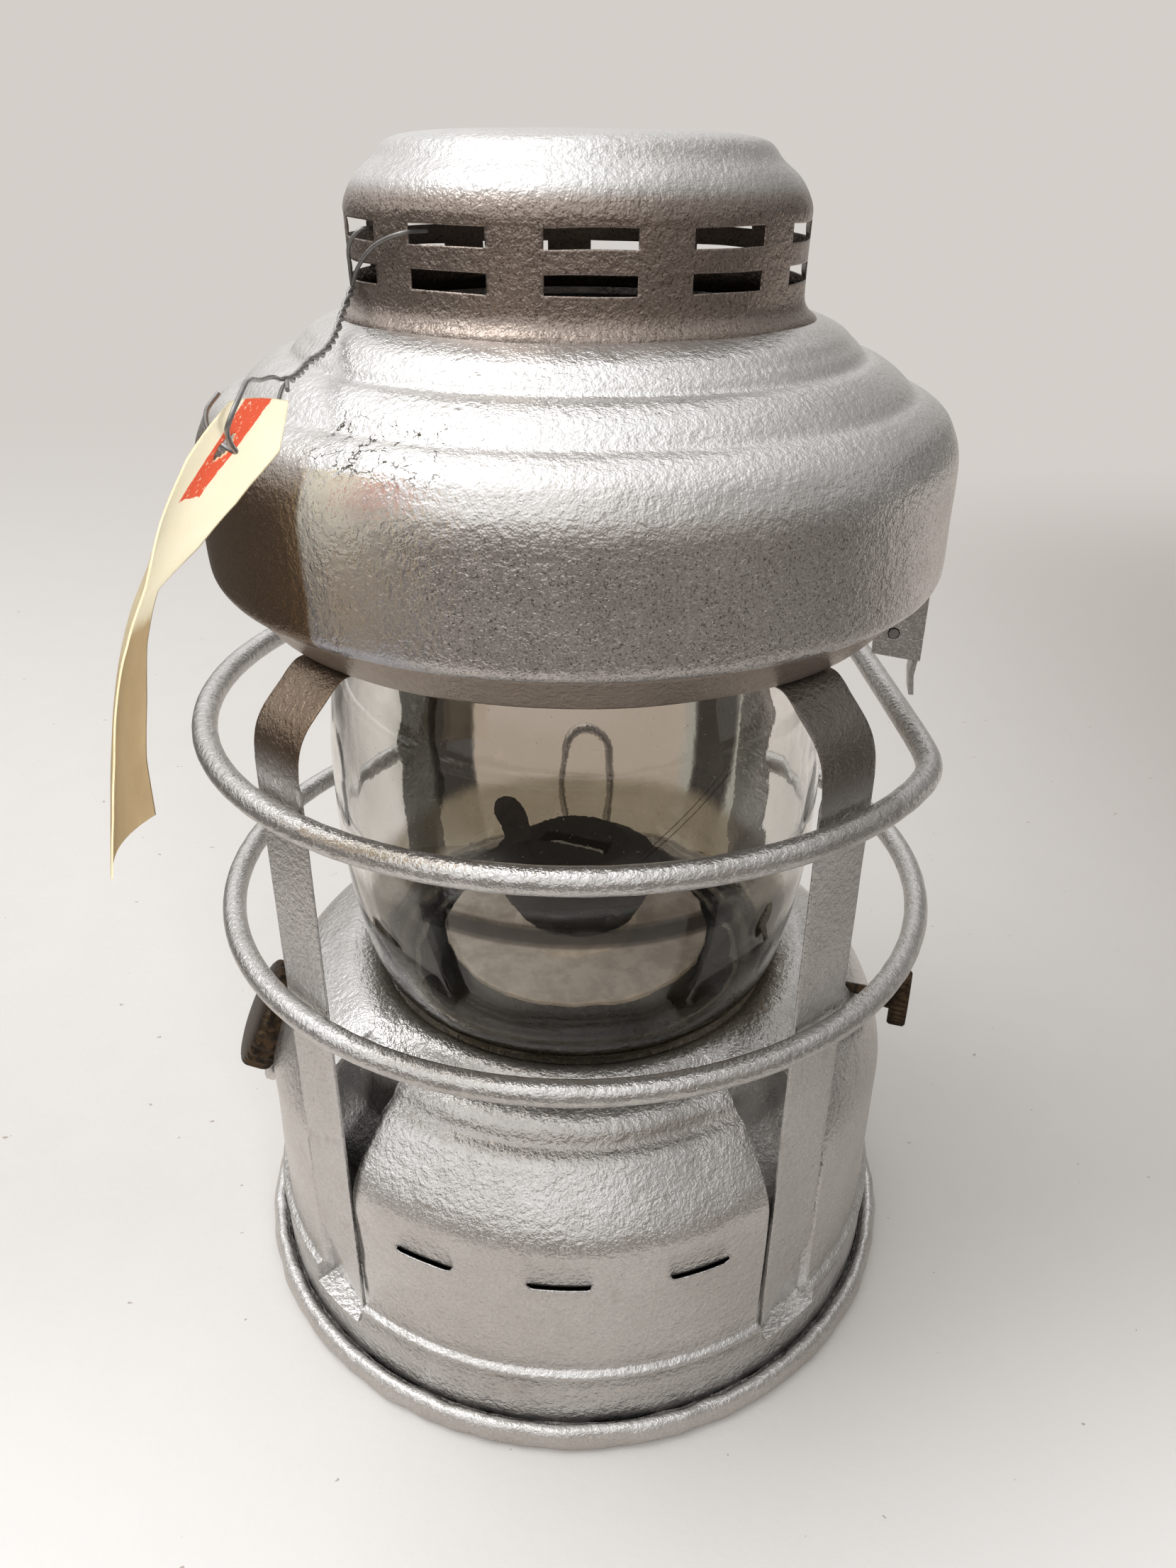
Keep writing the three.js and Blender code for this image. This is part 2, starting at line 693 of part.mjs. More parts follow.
function buildBurner() {
  const seatFoot = tankTop + clearance;
  const seatTop = seatFoot + burnerSeatHeight;
  add(lantern, 'burner_seat', tube(burnerSeatRadius, burnerBore, seatFoot, seatTop, smallSides), dullBrass());

  const thread = burnerBore - clearance;
  const plateUnder = burnerPlateHeight - burnerPlateRim;
  const cupFoot = seatTop + clearance;
  const tubeClear = wickWidth / 2 + wickTubeWall + clearance * 2;
  const cup = revolve([
    [tubeClear, tankTop - sheet], [thread, tankTop - sheet], [thread, cupFoot], [burnerCupRadius, cupFoot + sheet],
    [burnerCupRadius, plateUnder - clearance], [burnerCupRadius - sheet, plateUnder - clearance],
    [burnerCupRadius - sheet, cupFoot + sheet * 2], [tubeClear, cupFoot + sheet],
  ], smallSides);
  const shaftHole = onWinder(rod(winderShaft / 2 + clearance, -burnerCupRadius - overrun,
    burnerCupRadius + overrun, tinySides));
  add(lantern, 'burner_cup', cut(cup, shaftHole), dullBrass());

  const bossTop = burnerPlateHeight + burnerBossHeight;
  const disc = revolve([
    [tubeClear, plateUnder], [burnerPlateRadius - sheet, plateUnder], [burnerPlateRadius, plateUnder + sheet / 2],
    [burnerPlateRadius, burnerPlateHeight - sheet / 2], [burnerPlateRadius - sheet / 2, burnerPlateHeight],
    [burnerBossRadius, burnerPlateHeight], [burnerBossRadius - sheet, bossTop],
    [tubeClear + sheet, bossTop], [tubeClear, bossTop - sheet],
  ], globeSides);
  add(lantern, 'burner_plate', disc, dullBrass());

  const hoodFootHeight = bossTop + clearance;
  const slotRoundShare = 0.62;
  const outside = [
    [burnerBossRadius - sheet, hoodFootHeight], [flameHoodRadius, flameHoodRim],
    [flameHoodRadius, flameHoodRim + sheet * 2],
    [flameHoodRadius * slotRoundShare, flameHoodHeight - sheet / 2], [0, flameHoodHeight],
  ];
  const inside = [
    [0, flameHoodHeight - sheet], [flameHoodRadius * slotRoundShare - sheet / 2, flameHoodHeight - sheet * 1.5],
    [flameHoodRadius - sheet, flameHoodRim + sheet], [burnerBossRadius - sheet * 2, hoodFootHeight],
  ];
  const dome = revolve([...inside.slice().reverse(), ...outside.slice().reverse()].reverse(), smallSides);
  const slot = turned(block(flameSlotWidth, flameSlotLength, flameHoodHeight - flameHoodRim), winderAzimuth)
    .translate(0, 0, flameHoodHeight);
  add(lantern, 'flame_hood', cut(dome, slot), sootyBrass());

  const tabGroup = facing(tabAzimuth);
  const lean = new THREE.Vector2(Math.sin(rad(tabLean)), Math.cos(rad(tabLean)));
  const tabFootRadius = flameHoodRadius * slotRoundShare + sheet;
  const tabFootHeight = flameHoodHeight + clearance - sheet / 2;
  const tab = slab([
    [tabFootRadius, tabFootHeight],
    [tabFootRadius + plate, tabFootHeight],
    [tabFootRadius + plate + lean.x * tabLength, tabFootHeight + lean.y * tabLength],
    [tabFootRadius + lean.x * tabLength, tabFootHeight + lean.y * tabLength],
  ], tabWidth);
  add(tabGroup, 'flame_hood_tab', tab, sootyBrass());
}

// A flat tube or ribbon on end: wide along Y, thin along X.
function flatShape(width, thickness) {
  const round = thickness / 2;
  const straight = width / 2 - round;
  const shape = new THREE.Shape();
  shape.moveTo(round, -straight);
  shape.lineTo(round, straight);
  shape.lineTo(round / 2, straight + round);
  shape.lineTo(-round / 2, straight + round);
  shape.lineTo(-round, straight);
  shape.lineTo(-round, -straight);
  shape.lineTo(-round / 2, -straight - round);
  shape.lineTo(round / 2, -straight - round);
  shape.closePath();
  return shape;
}

function upright(shape, low, high) {
  const geometry = new THREE.ExtrudeGeometry(shape, { depth: high - low, bevelEnabled: false });
  return closed(geometry.translate(0, 0, low));
}

function buildWick() {
  const group = facing(winderAzimuth);
  const inner = clearance * 2;
  const outer = inner + wickTubeWall * 2;
  const outside = upright(flatShape(wickWidth + outer, wickThickness + outer), wickTubeFoot, wickTubeTop);
  const inside = upright(flatShape(wickWidth + inner, wickThickness + inner), wickTubeFoot - overrun,
    wickTubeTop + overrun);
  const windowHeight = (winderOffset - wickThickness / 2) * 2;
  const window = block(winderOffset, wheelSpread + wheelThickness + overrun, windowHeight)
    .translate(wickThickness / 2 + winderOffset / 2, 0, winderHeight);
  add(group, 'wick_tube', cut(outside, inside, window), dullBrass());
  const ribbon = upright(flatShape(wickWidth, wickThickness), wickFoot, wickTubeTop + wickAboveTube);
  add(group, 'wick', ribbon, cottonWick());
}

function wheel(middle) {
  const tip = winderOffset - wickThickness / 2 - clearance;
  const rootShare = 0.62;
  const disc = flutedDisc(tip, tip * (1 - rootShare), wheelTeeth, middle - wheelThickness / 2,
    middle + wheelThickness / 2);
  return cut(disc, rod(winderShaft / 2 + clearance, middle - wheelThickness, middle + wheelThickness, tinySides));
}

function buildWinder() {
  const shaft = rod(winderShaft / 2, -winderTail, winderEnd, tinySides);
  add(lantern, 'wick_shaft', onWinder(shaft), darkBrass());
  add(lantern, 'wick_wheel_outer', onWinder(wheel(wheelSpread / 2)), dullBrass());
  add(lantern, 'wick_wheel_inner', onWinder(wheel(-wheelSpread / 2)), dullBrass());
  const boss = winderShaft / 2 + sheet + clearance;
  const knobFoot = winderEnd - knobThickness / 2;
  const disc = flutedDisc(knobRadius, knobFluteDepth, knobFlutes, knobFoot, knobFoot + knobThickness);
  const hub = rod(boss, knobFoot - sheet * 2, knobFoot + sheet, smallSides / 2);
  const bore = rod(winderShaft / 2 + clearance, knobFoot - overrun, winderEnd + clearance, tinySides);
  add(lantern, 'wick_knob', onWinder(cut(join(disc, hub), bore)), darkBrass());
}

// Globe outline: each row is [share of the height, share of the greatest radius]
const globeShares = [
  [0, 0.79], [0.035, 0.86], [0.11, 0.915], [0.3, 0.985], [0.48, 1], [0.62, 0.992], [0.74, 0.958],
  [0.86, 0.875], [0.95, 0.788], [1, 0.775],
];

function buildGlobe() {
  const height = globeTop - globeFoot;
  const outside = globeShares.map(([above, out]) => [globeRadius * out, globeFoot + height * above]);
  const inside = outside.map(([radius, level]) => [radius - globeWall, level]);
  add(lantern, 'globe', revolve([...outside, ...inside.reverse()], globeSides), clearGlass());

  const footRadius = outside[0][0];
  const seatTop = globeFoot - clearance;
  const rim = footRadius + seatWidth / 2;
  const seat = revolve([
    [footRadius - seatWidth / 2, seatTop - sheet], [rim + sheet, seatTop - sheet],
    [collarRadius + sheet * 2, collarHeight - sheet * 2 - clearance],
    [collarRadius, collarHeight - sheet * 2 - clearance],
    [rim, seatTop], [footRadius - seatWidth / 2, seatTop],
  ], globeSides);
  const notch = onWinder(rod(winderShaft / 2 + clearance, burnerCupRadius, winderEnd, tinySides));
  add(lantern, 'globe_seat', cut(seat, notch), silverPaint());
}

// Strap: a tab under the top ring, a bend outward and a long straight leg
function strap(side) {
  const bendShares = [[0.12, 0.1], [0.5, 0.4], [0.88, 0.78], [1, 1]];
  const across = strapFace - tabEnd;
  const down = tabHeight - strapElbow;
  const line = [
    [tabEnd - strapTabReach, tabHeight],
    [tabEnd - strapThickness / 2, tabHeight],
    ...bendShares.map(([out, below]) => [tabEnd + across * out, tabHeight - down * below]),
    [strapFace, strapFoot],
  ];
  const bar = slab(strip(line, strapThickness), strapWidth);
  const half = strapWidth / 2 + overrun;
  const slope = strapFootSlant / strapWidth;
  const foot = panel([
    [-half * side, strapFoot + slope * (half + strapWidth / 2)], [half * side, strapFoot - slope * overrun],
    [half * side, tabHeight + overrun], [-half * side, tabHeight + overrun],
  ], -strapFace - overrun, 0);
  const hole = rod(rivetShank / 2 + clearance, tabHeight - overrun, tabHeight + overrun, tinySides)
    .translate(0, -(tabEnd - strapTabReach / 2), 0);
  return cut(keep(bar, foot), hole);
}

// Pushes the flattened side of the upper ring inward.
function flatten(geometry) {
  const place = geometry.attributes.position;
  for (let i = 0; i < place.count; i += 1) {
    const [x, y] = [place.getX(i), place.getY(i)];
    const azimuth = THREE.MathUtils.radToDeg(Math.atan2(x, -y));
    const off = Math.cos(rad(azimuth - ringFlatAzimuth));
    if (off <= 0) continue;
    const chord = ringFlatDistance / off;
    const gap = (ringRadius - chord) / ringFlatBlend;
    const push = ringFlatBlend * Math.log(1 + Math.exp(gap)) - ringFlatBlend * Math.log(1 + Math.exp(-ringRadius));
    const share = Math.max(0, push) / ringRadius;
    place.setX(i, x - x * share);
    place.setY(i, y - y * share);
  }
  return geometry;
}

function buildCage() {
  const left = new Set(['front_left', 'rear_right']);
  for (const [place, azimuth] of Object.entries(strapAngles)) {
    add(facing(azimuth), `strap_${place}`, strap(left.has(place) ? 1 : -1), silverPaint());
  }
  const ringSteps = 44;
  const torus = new THREE.TorusGeometry(ringRadius, ringWire / 2, tinySides, ringSteps);
  const upper = closed(flatten(closed(torus)).translate(0, 0, upperRingHeight));
  add(lantern, 'upper_ring', upper, silverPaint());

  const from = strapAngles.rear_left - 360;
  const sweep = strapAngles.rear_right - from;
  const arc = new WirePath((t) => polar(ringRadius, from + sweep * t, lowerRingHeight));
  add(lantern, 'lower_ring', wire(arc, ringWire, ringSteps, tinySides), silverPaint());
}

// Rear hanger: a foot along the base, a leg, a loop and the same again
function buildHanger() {
  const radius = strapReach + clearance * 2 + hangerWire / 2;
  const gap = hangerGap / 2;
  const degrees = THREE.MathUtils.radToDeg;
  const spot = (along, height) => {
    const azimuth = 180 - degrees((along + hangerCentre) / radius);
    return polar(radius, azimuth, height);
  };
  const reach = rad(180 - strapAngles.rear_right) * radius - hangerCentre;
  const loop = hangerTop - gap - hangerWire / 2;
  const points = [];
  points.push(spot(reach, hangerFoot));
  points.push(spot((reach + gap) / 2, hangerFoot));
  points.push(spot(gap + hangerBend, hangerFoot));
  points.push(spot(gap + hangerBend / 4, hangerFoot + hangerBend / 4));
  points.push(spot(gap, hangerFoot + hangerBend));
  points.push(spot(gap, (hangerFoot + loop) / 2));
  const arcSteps = 6;
  for (let i = 0; i <= arcSteps; i += 1) {
    const angle = (Math.PI * i) / arcSteps;
    points.push(spot(gap * Math.cos(angle), loop + gap * Math.sin(angle)));
  }
  const other = reach + hangerCentre * 2 + rad(strapAngles.rear_left - 180 - (180 - strapAngles.rear_right)) * radius;
  points.push(spot(-gap, (hangerFoot + loop) / 2));
  points.push(spot(-gap, hangerFoot + hangerBend));
  points.push(spot(-gap - hangerBend / 4, hangerFoot + hangerBend / 4));
  points.push(spot(-gap - hangerBend, hangerFoot));
  points.push(spot(-(other + gap) / 2, hangerFoot));
  points.push(spot(-other, hangerFoot));
  const curve = new THREE.CatmullRomCurve3(points, false, 'centripetal');
  const hangerSteps = 36;
  const hangerSides = 6;
  add(lantern, 'rear_hanger', wire(curve, hangerWire, hangerSteps, hangerSides), silverPaint());
}

function topRing() {
  const rimRadius = hoodHemRadius - clearance;
  const rimHeight = hoodFoot + clearance;
  const ring = revolve([
    [topRingBore, topRingHeight], [topRingRadius, topRingHeight], [rimRadius, rimHeight],
    [rimRadius - sheet, rimHeight + sheet / 2], [topRingRadius - sheet / 2, topRingHeight + sheet],
    [topRingBore, topRingHeight + sheet],
  ], roundSides);
  const notchDepth = latchPivotRadius + latchPin / 2 - clearance * 2;
  const notch = turned(block(latchWidth + overrun, overrun * 4, hoodFoot - topRingHeight + overrun * 2)
    .translate(0, -notchDepth - overrun * 2, (hoodFoot + topRingHeight) / 2 + sheet), latchAzimuth);
  const tools = [notch];
  for (const azimuth of Object.values(strapAngles)) tools.push(turned(rivetHole(), azimuth));
  return cut(ring, ...tools);
}

function rivetHole() {
  return rod(rivetShank / 2 + clearance, topRingHeight - overrun, topRingHeight + overrun, tinySides)
    .translate(0, -(tabEnd - strapTabReach / 2), 0);
}

function rivet() {
  const lowHead = tabHeight - strapThickness - clearance;
  const highHead = topRingHeight + sheet + clearance;
  return revolve([
    [0, lowHead - rivetHeadHeight], [rivetHead / 2, lowHead], [rivetShank / 2, lowHead],
    [rivetShank / 2, highHead], [rivetHead / 2, highHead], [0, highHead + rivetHeadHeight],
  ], tinySides).translate(0, -(tabEnd - strapTabReach / 2), 0);
}

// Share of the way out and share of the way down along one ripple of the hood
const rippleShares = [[0.25, 0.08], [0.6, 0.38], [0.9, 0.86]];
const shoulderShares = [[0.25, 0.07], [0.54, 0.21], [0.81, 0.5], [0.96, 0.85]];

function ripple(from, to, shares) {
  return shares.map(([out, down]) => [
    from[0] + (to[0] - from[0]) * out,
    from[1] + (to[1] - from[1]) * down,
  ]);
}

function hoodSkirt() {
  const neck = [neckOuter, chimneyFoot];
  const valleyB = [rippleRadiusB, rippleHeightB];
  const valleyA = [rippleRadiusA, rippleHeightA];
  const brow = [hoodRadius, hoodWallTop];
  const hemShare = 0.45;
  const outside = [
    neck, ...ripple(neck, valleyB, rippleShares), valleyB, ...ripple(valleyB, valleyA, rippleShares), valleyA,
    ...ripple(valleyA, brow, shoulderShares), brow,
    [hoodRadius, hoodFoot + hoodHemHeight], [hoodRadius - sheet / 2, hoodFoot + hoodHemHeight * hemShare],
    [hoodHemRadius + sheet / 2, hoodFoot], [hoodHemRadius, hoodFoot],
  ];
  const inner = hoodRadius - sheet;
  const inside = [
    [hoodHemRadius, hoodFoot + sheet], [inner, hoodFoot + hoodHemHeight * hemShare + sheet / 2],
    [inner, hoodWallTop], [valleyA[0] + (inner - valleyA[0]) * hemShare * 1.6, valleyA[1] - sheet * 4],
    [valleyA[0] - sheet, valleyA[1] - sheet], [valleyB[0] - sheet, valleyB[1] - sheet], [neck[0], neck[1] - sheet],
  ];
  return revolve([...outside, ...inside], roundSides);
}

function chimney() {
  const foot = chimneyFoot + clearance;
  const outer = chimneyRadius;
  const crownFoot = slotUpper + slotHeight / 2 + sheet;
  const grooveDepth = crownHeight - crownFoot;
  const outside = [
    [outer + sheet * 2, foot], [outer, foot + sheet * 2], [outer, crownFoot - sheet],
    [outer + sheet / 2, crownFoot], ...ripple([outer + sheet / 2, crownFoot], [crownGrooveRadius, crownHeight],
      [[0.1, 0.25], [0.33, 0.44], [0.72, 0.6], [0.98, 0.67]]),
    [(crownGrooveRadius + crownRadius) / 2, crownHeight - grooveDepth * 0.2],
    [crownRadius, crownHeight - sheet], [0, crownHeight],
  ];
  const inside = [
    [0, crownHeight - sheet], [crownRadius - sheet, crownHeight - sheet * 2],
    [crownGrooveRadius - sheet, crownHeight - grooveDepth / 2], [outer - sheet, crownFoot],
    [outer - sheet, foot],
  ];
  const drum = revolve([...outside, ...inside], chimneySides);
  const slotWidth = 2 * outer * Math.sin(rad(slotAngle / 2));
  const tools = [];
  for (let i = 0; i < slotCount; i += 1) {
    for (const height of [slotUpper, slotLower]) {
      const slot = block(slotWidth, outer / 2, slotHeight).translate(0, -outer, height);
      tools.push(turned(slot, slotFirst + (360 * i) / slotCount));
    }
  }
  return cut(drum.rotateZ(rad(slotFirst)), ...tools);
}

function buildHood() {
  add(lantern, 'cage_top_ring', topRing(), silverPaint());
  for (const [place, azimuth] of Object.entries(strapAngles)) {
    add(facing(azimuth), `rivet_${place}`, rivet(), silverPaint());
  }
  add(lantern, 'hood_skirt', hoodSkirt(), silverPaint());
  add(lantern, 'chimney', chimney(), silverPaint());

  const rim = hoodRadius - sheet - clearance;
  const floor = tube(rim, floorBore, floorHeight, floorHeight + sheet, roundSides);
  const hookHole = turned(block(latchWidth + overrun, overrun * 4, overrun * 2)
    .translate(0, -rim + overrun, floorHeight), latchAzimuth);
  add(lantern, 'hood_floor', cut(floor, hookHole), silverPaint());

  const flueFoot = floorHeight + sheet + clearance;
  const flue = revolve([
    [floorBore + overrun, flueFoot], [floorBore + overrun, flueFoot + sheet], [floorBore, flueFoot + sheet * 2],
    [flueTopRadius, flueTop], [flueTopRadius - sheet, flueTop], [floorBore - sheet, flueFoot],
  ], globeSides);
  add(lantern, 'inner_flue', flue, plainSteel());
}

function buildHinge() {
  const group = facing(hingeAzimuth);
  const knuckle = hingeKnuckle / 2;
  const pinHole = hingePin / 2 + clearance;
  const along = (geometry) => geometry.rotateY(Math.PI / 2).translate(0, -hingeRadius, hingeHeight);
  const side = (hingeWidth - hingeMiddle) / 2 - clearance;
  const sideMiddle = hingeMiddle / 2 + clearance + side / 2;
  const knuckleTube = (from, to) => along(tube(knuckle, pinHole, from, to, hingeSides));
  const bore = () => along(rod(pinHole, -hingeWidth, hingeWidth, hingeSides));

  const skirtFace = hoodRadius + clearance;
  const hoodLeaf = slab([
    [skirtFace, hingeHeight + knuckle], [skirtFace + plate, hingeHeight + knuckle],
    [skirtFace + plate, hingeHeight + hingeLeafHeight], [skirtFace, hingeHeight + hingeLeafHeight],
  ], hingeMiddle);
  const hoodWeb = slab([
    [skirtFace, hingeHeight + pinHole], [hingeRadius, hingeHeight + pinHole],
    [skirtFace + plate, hingeHeight + knuckle * 2], [skirtFace, hingeHeight + knuckle * 2],
  ], hingeMiddle);
  const middle = knuckleTube(-hingeMiddle / 2, hingeMiddle / 2);
  add(group, 'hood_hinge_leaf', cut(join(middle, hoodWeb, hoodLeaf), bore()), silverPaint());

  const leafTop = hoodFoot - clearance * 2;
  const coneSlope = (hoodHemRadius - topRingRadius) / (hoodFoot - topRingHeight);
  const leafFoot = leafTop - plate;
  const coneAt = (height) => topRingRadius + (height - topRingHeight) * coneSlope;
  const ringLeaf = slab([
    [coneAt(leafTop) + clearance * 2, leafTop], [coneAt(leafFoot) + clearance * 2, leafFoot],
    [hingeRadius, leafFoot], [hingeRadius, leafTop],
  ], hingeWidth);
  const sides = [-1, 1].map((sign) => knuckleTube(sign * sideMiddle - side / 2, sign * sideMiddle + side / 2));
  const recess = along(rod(knuckle + clearance, -hingeMiddle / 2 - clearance, hingeMiddle / 2 + clearance,
    hingeSides));
  add(group, 'ring_hinge_leaf', cut(join(cut(ringLeaf, recess), ...sides), bore()), silverPaint());
  add(group, 'hinge_pin', along(rod(hingePin / 2, -hingeWidth / 2, hingeWidth / 2, hingeSides)), plainSteel());
}

// Prints how near the spring's turns come to each other.
function reportLeastGap(coil, steps, apart) {
  const spots = coil.getPoints(steps);
  let least = Infinity;
  for (let i = 0; i < spots.length; i += 1) {
    for (let j = i + apart / 2; j < spots.length; j += 1) least = Math.min(least, spots[i].distanceTo(spots[j]));
  }
  console.log(`latch_spring least gap ${(least - latchSpringWire).toFixed(2)} mm`);
}

function buildLatch() {
  const group = facing(latchAzimuth);
  const along = (geometry) => geometry.rotateY(Math.PI / 2).translate(0, -latchPivotRadius, latchPivotHeight);
  const pinHole = () => along(rod(latchPin / 2 + clearance, -latchWidth, latchWidth, tinySides));
  const flangeIn = latchFlangeRadius - plate;
  const hookIn = flangeIn - latchHookSet;
  const sidePlate = [
    [flangeIn, latchFlangeTop], [flangeIn, latchFlangeFoot], [flangeIn - latchSideDepth + plate, latchFlangeFoot + plate],
    [flangeIn - latchSideDepth + plate, latchPivotHeight + latchPin],
    [latchPivotRadius, topRingHeight - plate], [hookIn, latchFlangeTop],
  ];
  const cheeks = [-1, 1].map((sign) => slab(sidePlate, plate).translate(sign * (latchWidth - plate) / 2, 0, 0));
  const flange = slab([
    [flangeIn - clearance, latchFlangeTop], [flangeIn - clearance, latchFlangeFoot],
    [latchFlangeRadius, latchFlangeFoot], [latchFlangeRadius, latchFlangeTop],
  ], latchWidth);
  const tongue = slab([
    [flangeIn, latchFlangeFoot + plate], [flangeIn - plate / 2, (latchFlangeFoot + latchTongueFoot) / 2],
    [flangeIn, latchTongueFoot], [latchFlangeRadius, latchTongueFoot],
    [latchFlangeRadius - plate / 2, (latchFlangeFoot + latchTongueFoot) / 2],
    [latchFlangeRadius, latchFlangeFoot + plate],
  ], latchTongueWidth);
  const hook = slab([
    [hookIn - plate, latchFlangeTop - plate], [flangeIn, latchFlangeTop - plate], [flangeIn, latchFlangeTop],
    [hookIn, latchFlangeTop + plate], [hookIn, latchHookTop - plate], [latchFlangeRadius, latchHookTop - plate],
    [latchFlangeRadius, latchHookTop], [hookIn - plate, latchHookTop],
  ], latchTongueWidth);
  add(group, 'latch_lever', cut(join(flange, ...cheeks, tongue, hook), pinHole()), silverPaint());

  const earGap = latchEarWidth;
  const under = topRingHeight - clearance;
  const base = block(earGap + plate * 2, latchSideDepth * 0.7, plate)
    .translate(0, -latchPivotRadius + latchSideDepth * 0.3, under - plate / 2);
  const ear = [
    [latchPivotRadius - overrun, under - plate / 2], [latchPivotRadius - overrun, latchPivotHeight - overrun],
    [latchPivotRadius + overrun / 2, latchPivotHeight - overrun], [latchPivotRadius + overrun / 2, latchPivotHeight],
    [latchPivotRadius, under - plate / 2],
  ];
  const ears = [-1, 1].map((sign) => slab(ear, plate).translate(sign * (earGap + plate) / 2, 0, 0));
  add(group, 'latch_bracket', cut(join(base, ...ears), pinHole()), silverPaint());
  add(group, 'latch_pin', along(rod(latchPin / 2, -latchWidth / 2 - clearance, latchWidth / 2 + clearance, tinySides)),
    plainSteel());

  const turnSteps = 8;
  const coilLength = earGap - latchSpringWire * 2;
  const coil = new WirePath((t) => {
    const angle = 2 * Math.PI * latchSpringTurns * t;
    return new THREE.Vector3(
      coilLength * (t - 0.5),
      -latchPivotRadius + latchSpringRadius * Math.cos(angle),
      latchPivotHeight + latchSpringRadius * Math.sin(angle),
    );
  });
  const springSides = 5;
  reportLeastGap(coil, latchSpringTurns * turnSteps, turnSteps);
  add(group, 'latch_spring', wire(coil, latchSpringWire, latchSpringTurns * turnSteps, springSides), plainSteel());

  const keeperTop = latchHookTop - plate - clearance;
  const keeperIn = hookIn + clearance * 2;
  const keeperOut = hoodRadius - sheet * 2 - clearance;
  const keeper = slab([
    [keeperIn, keeperTop - plate], [keeperOut, keeperTop - plate], [keeperOut, keeperTop], [keeperIn, keeperTop],
  ], latchTongueWidth);
  add(group, 'latch_keeper', keeper, silverPaint());
}

// The tag hangs edge on from its hole. Each row is a place down its middle line, in shares of
// its length from the hole, and the direction of its width there.
const tagPlaceShares = [
  [0.075, 0.003, 0.09], [-0.004, 0, -0.005], [-0.082, -0.022, -0.102], [-0.148, -0.039, -0.207],
  [-0.208, -0.066, -0.315], [-0.245, -0.085, -0.434], [-0.266, -0.112, -0.555], [-0.28, -0.136, -0.678],
  [-0.285, -0.17, -0.799],
];
const tagAcrossShares = [
  [0.157, 0.973, -0.167], [0.068, 0.981, -0.182], [-0.009, 0.984, -0.179], [-0.107, 0.985, -0.138],
  [-0.214, 0.971, -0.106], [-0.226, 0.965, -0.13], [-0.22, 0.96, -0.171], [-0.216, 0.954, -0.21],
  [-0.175, 0.952, -0.253],
];

// A curve through points whose heights are measured from the middle of the upper slots
function routeCurve(route) {
  const spots = route.map(([x, y, above]) => new THREE.Vector3(x, y, slotUpper + above));
  return new THREE.CatmullRomCurve3(spots, false, 'centripetal');
}

function buildTag() {
  const wireSides = 6;
  const strands = strandRoutes.map((route) => {
    const strandSteps = 9;
    return wire(routeCurve(route), tieWire, strandSteps, wireSides);
  });
  add(lantern, 'tag_strands', join(...strands), plainSteel());
  const wireSteps = 40;
  const route = routeCurve(wireRoute);
  add(lantern, 'tag_wire', wire(route, tieTwist, wireSteps, wireSides), plainSteel());

  const hole = route.points[wireRoute.length - 1 - wireTail];
  const middles = tagPlaceShares.map((share) => new THREE.Vector3(...share).multiplyScalar(tagLength).add(hole));
  const columns = 5;
  const front = [];
  const back = [];
  let holeNormal = up;
  middles.forEach((middle, i) => {
    const before = middles[Math.max(i - 1, 0)];
    const after = middles[Math.min(i + 1, middles.length - 1)];
    const across = new THREE.Vector3(...tagAcrossShares[i]).normalize();
    const normal = after.clone().sub(before).cross(across).normalize();
    if (i === 1) holeNormal = normal;
    const half = i === 0 ? tagWidth / 2 - tagClip : tagWidth / 2;
    for (let k = 0; k < columns; k += 1) {
      const out = (2 * k) / (columns - 1) - 1;
      const bow = tagCurl * (out * half * 2 / tagWidth) ** 2;
      const spot = middle.clone().addScaledVector(across, out * half).addScaledVector(normal, bow);
      front.push(spot.clone().addScaledVector(normal, tagThickness / 2));
      back.push(spot.clone().addScaledVector(normal, -tagThickness / 2));
    }
  });
  const count = front.length;
  const faces = [];
  const quad = (p, q, r, s) => faces.push(p, q, r, p, r, s);
  for (let i = 0; i + 1 < middles.length; i += 1) {
    const row = i * columns;
    for (let k = 0; k + 1 < columns; k += 1) {
      quad(row + k, row + k + 1, row + k + 1 + columns, row + k + columns);
      quad(count + row + k, count + row + k + columns, count + row + k + 1 + columns, count + row + k + 1);
    }
    const edge = row + columns - 1;
    quad(row, row + columns, count + row + columns, count + row);
    quad(edge, count + edge, count + edge + columns, edge + columns);
  }
  for (let k = 0; k + 1 < columns; k += 1) {
    const foot = count - columns + k;
    quad(k, count + k, count + k + 1, k + 1);
    quad(foot, foot + 1, count + foot + 1, count + foot);
  }
  const card = new THREE.BufferGeometry();
  card.setAttribute('position', new THREE.Float32BufferAttribute(
    [...front, ...back].flatMap((spot) => [spot.x, spot.y, spot.z]),
    3,
  ));
  card.setIndex(faces);
  const punch = rod(tagHole / 2, -overrun, overrun, smallSides)
    .applyQuaternion(new THREE.Quaternion().setFromUnitVectors(up, holeNormal))
    .translate(hole.x, hole.y, hole.z);
  add(lantern, 'tag', cut(closed(card), punch), creamCard());
}

buildBase();
buildTank();
buildFiller();
buildBurner();
buildWick();
buildWinder();
buildGlobe();
buildCage();
buildHanger();
buildHood();
buildHinge();
buildLatch();
buildTag();

export default lantern;
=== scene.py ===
"""Looks of a vehicle lantern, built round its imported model. Sizes are in millimetres and angles in degrees.

An azimuth is measured from the camera's side (-Y) towards +X, with the lantern's middle at zero.
"""

import math

import bpy
import numpy as np
from mathutils import Matrix, Vector, noise


